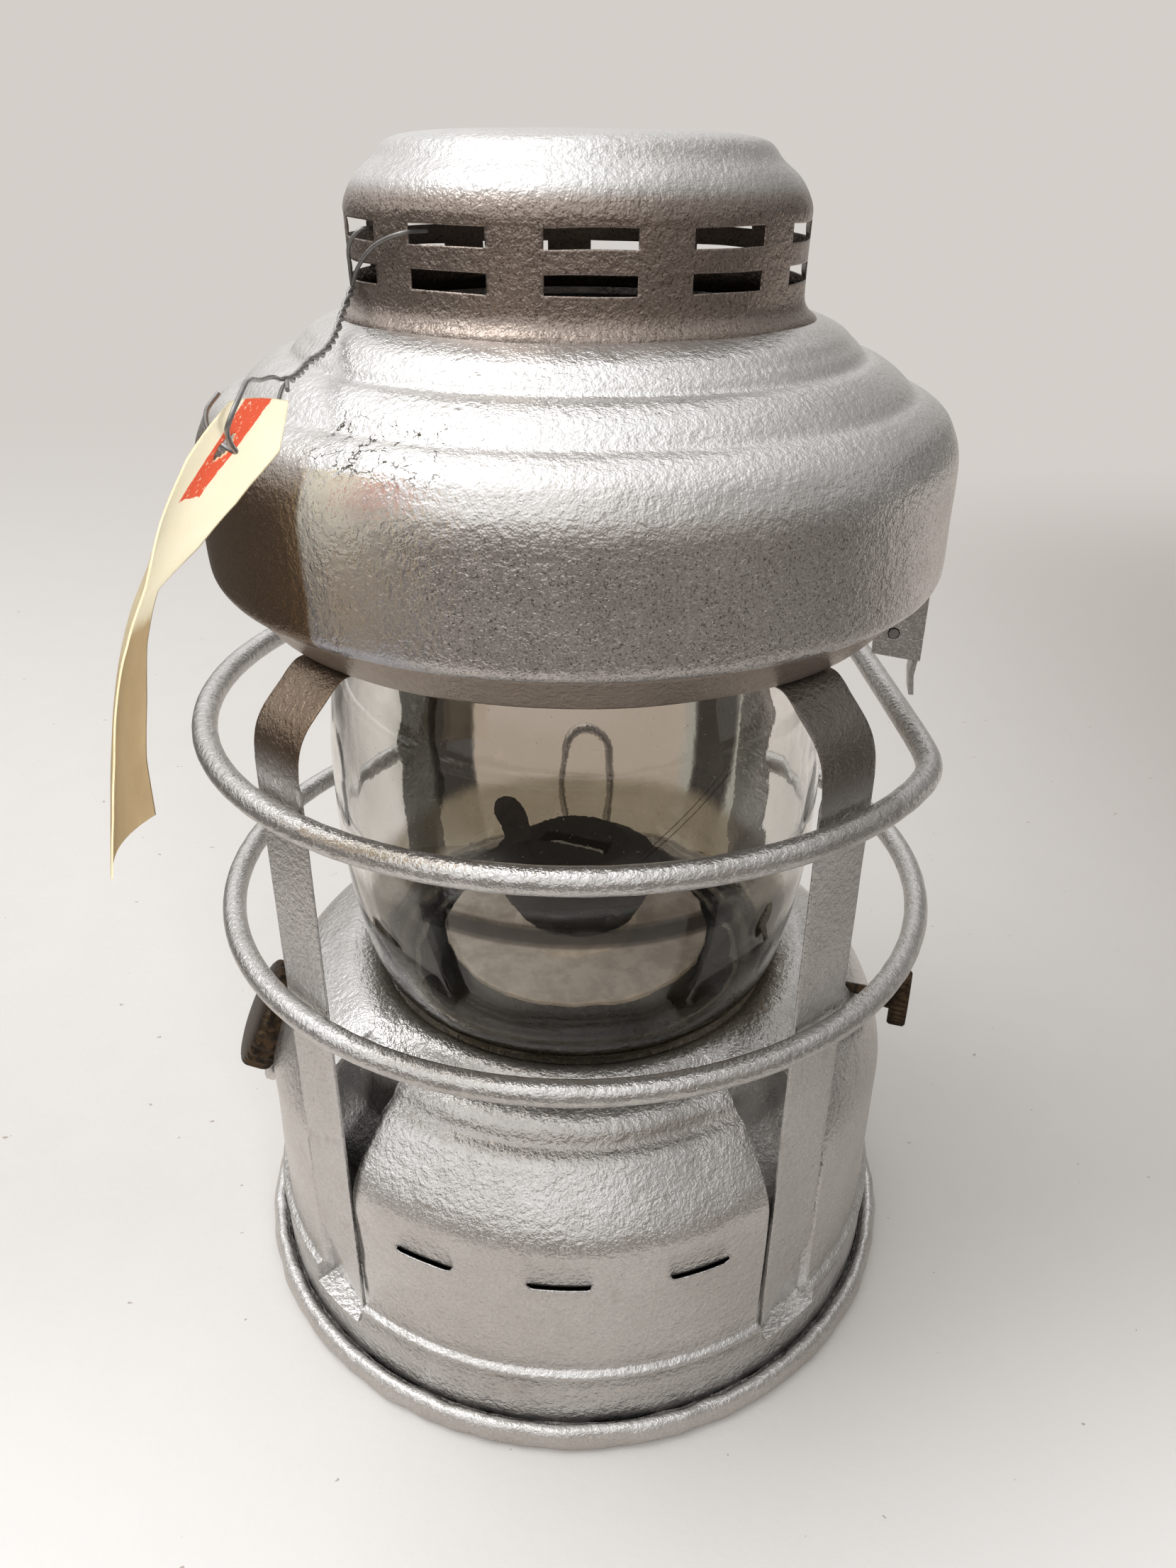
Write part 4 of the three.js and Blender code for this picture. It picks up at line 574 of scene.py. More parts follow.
class Shader:
    """Nodes of a material or of the world, with short calls for the ones that are used.

    The numbers of noise are a size, a detail and a roughness, and those of ramp are where it is 0 and 1.
    """

    def __init__(self, owner, coordinate="Object"):
        owner.use_nodes = True
        self.owner = owner
        self.tree = owner.node_tree
        self.tree.nodes.clear()
        self.place = self.node("TexCoord").outputs[coordinate]

    def node(self, kind, inputs=None, **settings):
        """Makes a node. inputs gives some of its sockets a plain value or a source."""
        made = self.tree.nodes.new("ShaderNode" + kind)
        for key, value in settings.items():
            setattr(made, key, value)
        for key, value in (inputs or {}).items():
            socket = made.inputs[key]
            if isinstance(value, bpy.types.NodeSocket):
                self.tree.links.new(value, socket)
            else:
                socket.default_value = (*value, 1) if socket.type == "RGBA" else value
        return made

    def noise(self, size, detail=2.0, roughness=0.5, distortion=0.0, stretch=None, output="Fac"):
        """Noise whose features are about size millimetres wide."""
        place = self.place
        if stretch:
            place = self.node("Mapping", {"Vector": place, "Scale": stretch}).outputs["Vector"]
        inputs = {"Vector": place, "Scale": 1 / (size * MM)}
        inputs |= {"Detail": detail, "Roughness": roughness, "Distortion": distortion}
        return self.node("TexNoise", inputs).outputs[output]

    def cracks(self, size, width):
        """Thin broken lines round patches of about size millimetres."""
        noise_colour = self.noise(size * 0.4, output="Color")
        shift = {0: noise_colour, 1: (size * MM * 0.7,) * 3, 2: self.place}
        moved = self.node("VectorMath", shift, operation="MULTIPLY_ADD").outputs[0]
        inputs = {"Vector": moved, "Scale": 1 / (size * MM)}
        made = self.node("TexVoronoi", inputs, feature="DISTANCE_TO_EDGE")
        return self.ramp(made.outputs["Distance"], width, width * 0.3)

    def ramp(self, source, low, high):
        """0 where source is low and 1 where it is high, and smooth between."""
        inputs = {"Value": source, "From Min": low, "From Max": high}
        return self.node("MapRange", inputs, interpolation_type="SMOOTHSTEP").outputs["Result"]

    def span(self, source, low, high):
        """Carries a source of 0 to 1 over to a span of values."""
        inputs = {"Value": source, "To Min": low, "To Max": high}
        return self.node("MapRange", inputs).outputs["Result"]

    def mix(self, share, one, other):
        """Mixes colours. Sockets 6 and 7 are the node's two colours, and output 2 is its colour."""
        return self.node("Mix", {0: share, 6: one, 7: other}, data_type="RGBA").outputs[2]

    def math(self, operation, one, other=0.0):
        return self.node("Math", {0: one, 1: other}, operation=operation).outputs[0]

    def times(self, product, *others):
        for other in others:
            product = self.math("MULTIPLY", product, other)
        return product

    def axis(self, name):
        return self.node("SeparateXYZ", {0: self.place}).outputs[name]

    def azimuth(self):
        """Degrees round the lantern, from the camera's side towards +X."""
        angle = self.math("ARCTAN2", self.axis("X"), self.times(self.axis("Y"), -1.0))
        return self.times(angle, 180 / math.pi)

    def window(self, source, low, high, soft_low, soft_high):
        """1 between low and high, and 0 outside."""
        rise = self.ramp(source, low - soft_low, low + soft_low)
        fall = self.ramp(source, high + soft_high, high - soft_high)
        return self.times(rise, fall)

    def patch(self, turn, azimuths, heights):
        """1 inside a span of azimuths and one of heights."""
        return self.times(self.window(turn, *azimuths), self.window(self.axis("Z"), *heights))

    def bumps(self, *layers):
        """Bump layers of (height, depth in millimetres), laid over each other."""
        inputs = {}
        for height, depth in layers:
            inputs |= {"Height": height, "Distance": depth * MM}
            inputs["Normal"] = self.node("Bump", inputs).outputs["Normal"]
        return inputs["Normal"]

    def surface(self, colour, roughness, normal, **more):
        inputs = {"Base Color": colour, "Roughness": roughness, "Normal": normal}
        inputs |= {key.replace("_", " "): more[key] for key in more}
        return self.node("BsdfPrincipled", inputs)

    def blend(self, share, one, other):
        """Mixes two shaders."""
        return self.node("MixShader", {0: share, 1: one.outputs[0], 2: other.outputs[0]})

    def lit_through(self, shader, colour):
        """Mixes in the light that comes through thin card."""
        through = self.node("BsdfTranslucent", {"Color": colour})
        return self.blend(CARD_LIGHT_SHARE, shader, through)

    def finish(self, shader, output="OutputMaterial"):
        self.node(output, {"Surface": shader.outputs[0]})
        return self.owner


def new_shader(name):
    return Shader(bpy.data.materials.new(name))


def grey(value, warm=0.0):
    return (value * (1 + warm), value, value * (1 - warm))


def silver_paint(part):
    """Thick aluminium paint: orange peel, lumps, pinholes, a little brown grime, a brownish haze low down
    that is part dirt and part painted shade, and the part's own stains and patches of painted shade.
    """
    tone, lump, peel, specks, grime, rough = COATS[part]
    s = new_shader(f"silver_paint_{part}")
    broad = s.noise(38, 3, 0.6)
    lumps = s.noise(4.6, 3, 0.55, 0.3)
    skin = s.noise(1.35, 2, 0.6)
    grain = s.noise(0.42, 1, 0.5)
    colour = s.mix(s.ramp(broad, 0.35, 0.68), grey(tone * 0.93, 0.03), grey(tone * 1.06, 0.018))
    flakes = s.ramp(grain, 0.58, 0.72)
    colour = s.mix(s.times(flakes, FLAKE_SHARE), colour, grey(min(1.0, tone * 1.4)))
    pores = s.ramp(s.noise(0.62, 2, 0.62), 0.66, 0.74)
    where = s.ramp(s.noise(17, 3, 0.6), 0.42, 0.62)
    colour = s.mix(s.times(pores, where, specks), colour, PINHOLE)
    dirty = s.ramp(s.noise(11, 4, 0.65, 0.6), 0.56, 0.78)
    colour = s.mix(s.times(dirty, grime), colour, GRIME)
    dusty = s.ramp(s.noise(0.8, 3, 0.7), 0.35, 0.65)
    colour = s.mix(s.times(dusty, DUST_SHARE), colour, grey(tone * 0.45, 0.04))
    if part in FRECKLES:
        top, full, haze = FRECKLES[part]
        dots = s.ramp(s.noise(0.5, 4, 0.72), 0.545, 0.62)
        # A brownish haze on the lower walls, part dirt and part painted shade
        below = s.ramp(s.axis("Z"), top, full)
        colour = s.mix(s.times(below, haze), colour, DIRT_AND_SHADE_HAZE)
        colour = s.mix(s.times(dots, below, FRECKLE_SHARE), colour, FRECKLE)
    # Stains, and patches of painted shade and shadow, each tinting its span
    for azimuths, heights, tint in STAINS_AND_SHADE.get(part, ()):
        turn = s.math("ADD", s.azimuth(), s.span(s.noise(13, 2), -0.9, 0.9))
        inside = s.patch(turn, azimuths, heights)
        colour = s.mix(s.times(inside, s.span(broad, 0.72, 1.0)), colour, tint)
    if part in CRACKS:
        lines = s.times(s.cracks(4.2, 0.035), s.ramp(s.noise(3.1, 2), 0.42, 0.5))
        colour = s.mix(s.times(s.patch(s.azimuth(), *CRACKS[part]), lines), colour, CRACK)
    roughness = s.span(s.noise(7, 3, 0.6), rough - 0.1, rough + 0.14)
    normal = s.bumps((lumps, lump), (skin, peel), (grain, GRAIN_DEPTH))
    return s.finish(s.surface(colour, roughness, normal, Metallic=PAINT_METAL))


def bronze(name, colours, rough=0.42):
    """Old dark brass with a brown skin and bare spots."""
    s = new_shader(name)
    bare, dark = colours
    skin = s.noise(2.4, 4, 0.65, 0.4)
    tone = s.mix(s.ramp(skin, 0.38, 0.66), dark, bare)
    normal = s.bumps((s.noise(1.1, 3, 0.6), 0.08), (s.noise(0.3, 2), 0.02))
    roughness = s.span(skin, rough - 0.12, rough + 0.2)
    return s.finish(s.surface(tone, roughness, normal, Metallic=0.8))


def steel(name, tone, rough=0.4):
    s = new_shader(name)
    streaks = s.noise(1.6, 3, 0.6)
    colour = s.mix(streaks, grey(tone * 0.6, 0.05), grey(tone * 1.3, 0.02))
    normal = s.bumps((s.noise(0.5, 2), 0.03))
    roughness = s.span(streaks, rough - 0.1, rough + 0.2)
    return s.finish(s.surface(colour, roughness, normal, Metallic=0.9))


def matte(name, colours, size, rough=0.9, depth=0.1):
    """A dull surface of two mottled colours, such as soot, cork or cotton."""
    s = new_shader(name)
    light, dark = colours
    colour = s.mix(s.ramp(s.noise(size, 4, 0.65), 0.35, 0.65), dark, light)
    normal = s.bumps((s.noise(size / 3, 3, 0.6), depth))
    roughness = s.span(s.noise(size * 2), rough - 0.12, rough)
    return s.finish(s.surface(colour, roughness, normal))


def glass():
    """Clear old glass, smoked greenish brown towards its foot, with painted shade on its rear half, beside
    the rear straps and in a band across its front. Lamps shine through it.
    """
    s = new_shader("globe_glass")
    height, turn = s.axis("Z"), s.azimuth()
    aside = s.math("ABSOLUTE", turn)
    cloud = s.ramp(s.noise(9, 3, 0.6), 0.3, 0.7)
    # Painted shade: the rear half greyer and greener, and its middle tan where the lantern's shadow on the
    # floor shows through, along with some smoke
    tint = s.mix(s.ramp(aside, 112, 124), GLASS_FRONT, GLASS_REAR_SHADE)
    tint = s.mix(s.ramp(aside, 143, 149), tint, GLASS_SHADOW_AND_SMOKE)
    # Painted shade in stripes just inside the rear straps, for their shaded sides seen through the glass
    strap_shade = s.math("MAXIMUM", s.window(turn, -147, -132, 0.7, 0.7), s.window(turn, 128, 142, 0.7, 0.7))
    tint = s.mix(strap_shade, tint, GLASS_STRAP_SHADE)
    smoke = s.times(s.ramp(height, 0.118, 0.112), s.span(cloud, 0.8, 1.0))
    tint = s.mix(smoke, tint, GLASS_SMOKE)
    # Smoked corners, whose edge rises by a millimetre for each degree
    slanted = s.ramp(s.math("ADD", aside, s.times(height, -1000.0)), -98, -94)
    corner = s.times(s.ramp(aside, 75, 60), slanted, s.window(height, 0.112, 0.134, 0.002, 0.002), 0.7)
    tint = s.mix(corner, tint, GLASS_CORNER)
    # Painted shade in a band across the front, for the shaded rim of the burner's bowl behind it
    shaded_brim = s.times(s.ramp(aside, 38, 35), s.window(height, 0.1345, 0.1398, 0.0006, 0.0006))
    foot = s.window(height, 0.0965, 0.0978, 0.0003, 0.0003)
    over_scratch = s.math("SUBTRACT", height, s.math("ADD", s.times(turn, 0.00086), 0.1462))
    thin = s.window(over_scratch, -0.0002, 0.0002, 0.0001, 0.0001)
    scratch = s.times(thin, s.window(turn, 13, 33, 1, 1))
    lines = s.math("MAXIMUM", s.math("MAXIMUM", shaded_brim, scratch), foot)
    # Dark lines: the band of painted shade, a scratch and the globe's foot
    tint = s.mix(s.times(lines, 0.92), tint, GLASS_LINE)
    ripple = s.bumps((s.noise(16, 1), 0.35), (s.noise(1.2, 2), 0.004))
    roughness = s.span(s.ramp(s.noise(1.1, 2, 0.7), 0.735, 0.75), 0.0, 0.5)
    clear = s.surface(tint, roughness, ripple, IOR=1.5, Transmission_Weight=1.0)
    through = s.node("BsdfTransparent", {"Color": tint})
    path = s.node("LightPath").outputs
    shadow = s.math("MAXIMUM", path["Is Shadow Ray"], path["Is Diffuse Ray"])
    return s.finish(s.blend(shadow, clear, through))


def card_back():
    """The card's browner back."""
    s = new_shader("tag_card_back")
    fibres = s.noise(0.7, 4, 0.7, stretch=(1, 1, 0.4))
    tone = s.mix(s.ramp(s.noise(9, 3, 0.6), 0.3, 0.7), *CARD_BACK)
    tone = s.mix(s.times(s.ramp(fibres, 0.5, 0.7), 0.3), tone, CARD_BACK_FIBRE)
    normal = s.bumps((fibres, 0.06), (s.noise(5, 2), 0.12))
    shader = s.surface(tone, s.span(fibres, 0.75, 0.9), normal)
    return s.finish(s.lit_through(shader, s.mix(0.1, CARD_BACK_LIGHT, tone)))


def card():
    """Cream card with browner edges, an orange red reinforcement round the hole, and its lower part painted
    browner and darker, partly as the back's tone and partly as shade.
    """
    s = new_shader("tag_card")
    chart = s.node("UVMap", uv_map="place").outputs["UV"]
    places = s.node("SeparateXYZ", {0: chart}).outputs
    down, edge = places["X"], s.math("ABSOLUTE", places["Y"])
    fibres = s.noise(0.7, 4, 0.7, stretch=(1, 1, 0.4))
    blotches = s.noise(9, 3, 0.6)
    cream = s.mix(s.ramp(blotches, 0.35, 0.7), *CARD_FRONT)
    cream = s.mix(s.times(s.ramp(fibres, 0.5, 0.7), 0.3), cream, CARD_FIBRE)
    rim = s.ramp(edge, (TAG_HALF_WIDTH - TAG_RIM) / TAG_CHART, TAG_HALF_WIDTH / TAG_CHART)
    cream = s.mix(s.times(rim, 0.6), cream, CARD_RIM)
    wobble = s.times(s.math("SUBTRACT", s.noise(1.6, 3), 0.5), 0.012)
    across = s.ramp(s.math("ADD", edge, wobble), 0.052, 0.050)
    along = s.ramp(s.math("ADD", down, wobble), 0.202, 0.200)
    worn = s.times(s.ramp(s.noise(1.3, 4, 0.7), 0.66, 0.60), s.times(across, along))
    colour = s.mix(worn, cream, s.mix(blotches, *CARD_PATCH))
    # Painted shade: the lower part darker and browner where the card turns away, along with the back's
    # browner tone
    low = s.ramp(s.math("ADD", down, s.span(blotches, -0.02, 0.02)), 0.44, 0.48)
    colour = s.mix(low, colour, s.mix(blotches, *CARD_LOW_SHADED))
    normal = s.bumps((fibres, 0.05), (s.noise(5, 2), 0.12))
    shader = s.surface(colour, s.span(blotches, 0.72, 0.85), normal)
    light = s.mix(s.math("MAXIMUM", low, worn), CARD_LIGHT, colour)
    return s.finish(s.lit_through(shader, light))


# Tag and its wire come first, because they are the parts that hang free


def add_tie_wire(material):
    """Two strands twisted together, then one that loops through the tag's hole."""
    line = smooth_line(WIRE_ROUTE, WIRE_STEPS)
    tangent = np.gradient(line, axis=0)
    tangent /= np.linalg.norm(tangent, axis=1)[:, None]
    normal = np.cross(tangent[0], (0, 0, 1))
    offset = (TWIST_THICKNESS - STRAND_THICKNESS) / 2
    strands = [[], []]
    for run, spot, way in zip(run_along(line), line, tangent):
        normal = normal - way * (normal @ way)
        normal /= np.linalg.norm(normal)
        side = np.cross(way, normal)
        turn = 2 * math.pi * TWIST_TURNS * min(run, TWIST_LENGTH) / TWIST_LENGTH
        turn += TWIST_UNEVENNESS * math.sin(run * TWIST_UNEVEN_PITCH)
        away = offset * (1 - TWIST_FADE_SHARE * ease(TWIST_LENGTH, TWIST_LENGTH + TWIST_FADE, run))
        swing = away * (math.cos(turn) * normal + math.sin(turn) * side)
        strands[0].append(spot + swing)
        if run <= TWIST_LENGTH:
            strands[1].append(spot - swing)
    shape = join(strand(path) for path in strands)
    wire = make_piece("tie_wire", shape, material, "hanging_tag", ["tag_wire"], 60)
    end = np.array(strands[1][-1])
    tails = []
    for aim in TAIL_AIMS:
        reach = np.array(aim) - end
        tails.append(strand([end, end + 0.5 * reach + TAIL_LIFT, aim, aim + TAIL_PAST_AIM * reach], 24))
    ends = make_piece("tie_wire_ends", join(tails), material, "hanging_tag", (), 60)
    return wire, ends, line


def add_strands(material):
    shape = join(strand(route, 40) for route in STRAND_ROUTES)
    make_piece("tie_wire_strands", shape, material, "hood", ["tag_strands"], 60)


def add_tag(material, back):
    """A curled card with cut corners and a torn round hole."""
    middles = smooth_line(TAG_MIDDLES, TAG_DOWN_STEPS)
    stations = np.linspace(0, len(TAG_MIDDLES) - 1, TAG_DOWN_STEPS)
    whole = np.arange(len(TAG_MIDDLES))
    across = np.column_stack([np.interp(stations, whole, np.array(TAG_ACROSS)[:, k]) for k in range(3)])
    curls = np.interp(stations, whole, TAG_CURL)
    ways = np.gradient(middles, axis=0)
    points, places, from_hole = [], [], []
    for middle, wide, curl, way, run in zip(middles, across, curls, ways, run_along(middles)):
        wide = wide / np.linalg.norm(wide)
        normal = np.cross(way, wide)
        normal /= np.linalg.norm(normal)
        half = TAG_HALF_WIDTH - TAG_CLIP * (1 - min(run / TAG_CLIP, 1))
        bow = TAG_HALF_WIDTH / curl
        for k in range(TAG_OUT_STEPS):
            out = half * (2 * k / (TAG_OUT_STEPS - 1) - 1)
            angle = out / bow
            spot = middle + wide * bow * math.sin(angle) + normal * bow * (1 - math.cos(angle))
            points.append(spot + normal * TAG_WAVES * bump(spot, 21, 3.0))
            places.append((run / TAG_CHART, out / TAG_CHART))
            torn = TAG_HOLE * (1 + TAG_HOLE_TORN * bump((run, out, 0), 1.4, 5.0))
            from_hole.append(math.hypot(run - TAG_HOLE_DOWN, out) - torn)

    def keep(i, j):
        first = i * TAG_OUT_STEPS + j
        corners = (first, first + TAG_OUT_STEPS, first + TAG_OUT_STEPS + 1, first + 1)
        return sum(from_hole[c] for c in corners) > 0

    faces = grid_faces(TAG_DOWN_STEPS, TAG_OUT_STEPS, keep=keep)
    tag = make_piece("card_tag", (points, faces), material, "hanging_tag", ["tag"], 60)
    chart = tag.data.uv_layers.new(name="place")
    corners = np.zeros(len(tag.data.loops), np.int32)
    tag.data.loops.foreach_get("vertex_index", corners)
    chart.data.foreach_set("uv", np.array(places, np.float32)[corners].ravel())
    tag.data.materials.append(back)
    solid = thicken(tag, TAG_THICKNESS, offset=0)
    solid.material_offset = 1
    solid.material_offset_rim = 1


# Hood


def add_hood(paint):
    """Outside of the skirt from the chimney's foot down to its hem, then back up inside."""
    outline = smooth_outline(HOOD_SKIN, 120) + HOOD_BACK
    shape = revolve(outline, steps=300, dent=0.35, dent_scale=24, seed=1.3)
    make_piece("hood_skirt_pressed", shape, paint, "hood", ["hood_skirt"])


def chimney_rows():
    """Outside of the chimney from the crown's middle down to its foot, and the rows at the slots' edges."""
    crown = smooth_outline(CROWN, 54)
    heights, edges = [], []
    for middle in (SLOT_UPPER, SLOT_LOWER):
        top, bottom = middle + SLOT_HEIGHT / 2, middle - SLOT_HEIGHT / 2
        heights += [top + 0.35, top, top - 0.6, middle, bottom + 0.6, bottom, bottom - 0.35, DRUM_BETWEEN]
        edges += [top, bottom]
    heights.pop()
    wall = DRUM_TOP + [(DRUM_RADIUS + DRUM_TAPER * ease(270, 282, z), z) for z in heights]
    first = len(crown) + len(DRUM_TOP)
    return crown + wall + DRUM_FOOT, [first + heights.index(edge) for edge in edges]


def add_chimney(paint):
    columns = SLOT_COLUMNS * SLOT_COUNT
    pitch = 360 / SLOT_COUNT
    rows, slots = chimney_rows()
    points = []
    for i in range(columns):
        azimuth = SLOT_FIRST + pitch * (i - SLOT_OPEN_COLUMNS / 2) / SLOT_COLUMNS
        for radius, height in rows:
            point = polar(radius, azimuth, height)
            point = widened(point, DRUM_DENTS * bump(point, 16, 2.1), max(radius, 12))
            depth = min(CROWN_DENTS, max(0, radius - 6) * 0.01)  # none at the crown's middle
            point[2] += depth * bump(point, 13, 4.4)
            points.append(point)

    def keep(i, j):
        in_slot = i % SLOT_COLUMNS < SLOT_OPEN_COLUMNS
        return not (in_slot and (slots[0] <= j < slots[1] or slots[2] <= j < slots[3]))

    faces = [face[::-1] for face in grid_faces(columns, len(rows), True, keep=keep)]
    thicken(make_piece("chimney_drum", (points, faces), paint, "hood", ["chimney"]), SHEET)


def add_top_ring(paint):
    points, faces = revolve(refine(LIP, LIP_STEP), steps=520, dent=0.25, dent_scale=18, seed=7.7)
    latch = polar(1, LATCH_AZIMUTH, 0)
    beside = polar(1, LATCH_AZIMUTH + 90, 0)
    for k, point in enumerate(points):
        past = point @ latch - NOTCH_DEPTH
        if past > 0 and abs(point @ beside) < NOTCH_HALF_WIDTH:
            points[k] = point - latch * past - np.array((0, 0, past * LIP_SLOPE))
    make_piece("cage_lip", (points, faces), paint, "lantern", ["cage_top_ring"])


# Cage


def ring_flat(point):
    """Pushes the flattened side of the upper ring inward."""
    azimuth = math.degrees(math.atan2(point[0], -point[1]))
    off = math.cos(math.radians(azimuth - FLAT_AZIMUTH))
    if off <= 0:
        return point
    push = RING_RADIUS - FLAT_DISTANCE / off
    if push / FLAT_BLEND < FLAT_SURE:
        push = FLAT_BLEND * math.log(1 + math.exp(push / FLAT_BLEND))
    share = 1 - push / RING_RADIUS
    return np.array([point[0] * share, point[1] * share, point[2]])


def ring_radius(seed):
    def radius(i):
        uneven = RING_UNEVENNESS * noise.noise(Vector((i * RING_UNEVEN_PITCH, seed, 0)))
        return RING_WIRE / 2 + uneven - RING_SHRINK

    return radius


def add_rings(paint):
    upper = [ring_flat(polar(RING_RADIUS, 360 * i / RING_STEPS, UPPER_RING)) for i in range(RING_STEPS)]
    shape = sweep(upper, ring_radius(1), RING_SIDES, closed=True)
    make_piece("guard_ring_upper", shape, paint, "lantern", ["upper_ring"])
    first = STRAP_AZIMUTHS["rear_left"] - 360
    length = STRAP_AZIMUTHS["rear_right"] - first
    steps = range(LOWER_RING_STEPS + 1)
    lower = [polar(RING_RADIUS, first + length * i / LOWER_RING_STEPS, LOWER_RING) for i in steps]
    make_piece("guard_ring_lower", sweep(lower, ring_radius(5), RING_SIDES), paint, "lantern", ["lower_ring"])


def add_straps(paint):
    line = smooth_outline(STRAP_BEND, 56)
    top = line[-1][1]
    for place, azimuth in STRAP_AZIMUTHS.items():
        inner_is_right = place in ("front_left", "rear_right")
        points = []
        for i in range(STRAP_COLUMNS):
            share = i / (STRAP_COLUMNS - 1)
            along = STRAP_WIDTH * (share - 0.5)
            towards = share if inner_is_right else 1 - share
            foot = STRAP_FOOT + STRAP_FOOT_SLANT * (1 - towards)
            leg = [(STRAP_FACE, top + (foot - top) * (k + 1) / STRAP_LEG_ROWS) for k in range(STRAP_LEG_ROWS)]
            for distance, height in line + leg:
                dent = 0
                if height < STRAP_DENTS_TOP:
                    dent = min(0.0, STRAP_DENTS * bump((along + azimuth, distance, height), 14, 6.0))
                points.append((*turned(along, -(distance + dent), azimuth), height))
        faces = [face[::-1] for face in grid_faces(STRAP_COLUMNS, len(line) + STRAP_LEG_ROWS)]
        piece = make_piece(f"cage_strap_{place}", (points, faces), paint, "lantern", [f"strap_{place}"])
        thicken(piece, STRAP_THICKNESS)
        soften(piece, STRAP_EDGE)


def add_hanger(paint):
    """A wire that runs from both rear straps to the middle and rises there in a loop."""
    foot, gap, bend = HANGER_FOOT, HANGER_GAP, HANGER_BEND
    loop = HANGER_TOP - gap - HANGER_WIRE / 2 - HANGER_CLEARANCE

    def side(end):
        return [
            (end, foot), ((end + gap) / 2, foot), (gap + bend, foot), (gap + bend / 4, foot + bend / 4),
            (gap, foot + bend), (gap, (foot + loop) / 2),
        ]

    route = side(math.radians(HANGER_ENDS[0]) * HANGER_RADIUS - HANGER_CENTRE)
    route += [(gap * math.cos(a), loop + gap * math.sin(a)) for a in np.arange(9) * math.pi / 8]
    other = side(math.radians(HANGER_ENDS[1]) * HANGER_RADIUS + HANGER_CENTRE)
    route += [(-along, height) for along, height in other[::-1]]
    points = [
        polar(HANGER_RADIUS, 180 - math.degrees((along + HANGER_CENTRE) / HANGER_RADIUS), height)
        for along, height in route
    ]
    shape = sweep(smooth_line(points, 320), HANGER_WIRE / 2, 14)
    make_piece("hanger_wire", shape, paint, "lantern", ["rear_hanger"])


# Base


def base_outline(kind):
    """Rows of (radius, height) from the shell's foot to the collar. Every kind has the same rows."""
    pocket = kind == "pocket"
    wall = POCKET_RADIUS if pocket else WALL_RADIUS
    band_top = POCKET_FOOT - 1.2 if pocket else BAND_HEIGHT
    wall_foot = POCKET_FOOT if pocket else WALL_FOOT
    band = [(BAND_RADIUS, z) for z in (PAN_TOP, 8, 13, 17, band_top - 0.6)]
    step = [
        (BAND_RADIUS + (wall - BAND_RADIUS) * out, band_top + (wall_foot - band_top) * up)
        for out, up in ((-0.28, 0.15), (-0.3, 0.3), (0.1, 0.5), (0.75, 0.62), (1.05, 0.8), (1, 1.2))
    ]
    slit = (LOUVRE_SLIT - LOUVRE_GAP / 2, LOUVRE_SLIT + LOUVRE_GAP / 2)
    heights = (29, 33, 38, 43, 48, 50.5, 51.8, 52.6, *slit, 54.3, 54.9, 55.6, 56.6, 57.6, 58.6)
    return np.array(band + step + [(wall, z) for z in heights] + smooth_outline(DOMES[kind], DOME_ROWS))


def base_azimuths():
    """Columns of the shell, as (azimuth, share of a pocket, distance from the nearest strap in degrees).

    The distance counts as positive towards the front or the rear, and as negative towards the sides.
    """
    half = math.degrees((STRAP_WIDTH / 2 + POCKET_CLEARANCE) / POCKET_RADIUS)
    edge = math.degrees(POCKET_EDGE / WALL_RADIUS)
    spots = [*STRAP_AZIMUTHS.values(), STRAP_AZIMUTHS["front_left"] + 360]
    columns = []

    def drop(spot, way):
        for share in (0.25, 0.5, 0.75, 1.0):
            away = sign * (half + edge * share)
            yield spot + way * half + way * edge * share, 1 - ease(0, 1, share), away

    for i, (start, end) in enumerate(zip(spots, spots[1:])):
        sign = 1 if i % 2 == 0 else -1
        for share in np.linspace(-1, 1, POCKET_COLUMNS):
            columns.append((start + half * share, 1.0, sign * half * share))
        columns += drop(start, 1)
        inner = np.linspace(start + half + edge, end - half - edge, PANEL_COLUMNS)[1:-1]
        columns += [(a, 0.0, sign * min(a - start, end - a)) for a in inner]
        columns += [*drop(end, -1)][::-1]
    return columns


def louvre_share(azimuth):
    """How far one of the louvres is open across its width, from 0 to 1."""
    half = math.degrees((LOUVRE_WIDTH / 2 + LOUVRE_MARGIN) / WALL_RADIUS)
    corner = math.degrees(LOUVRE_CORNER / WALL_RADIUS)
    return max(float(ease(half, half - corner, abs(azimuth - a))) for a in LOUVRE_AZIMUTHS)


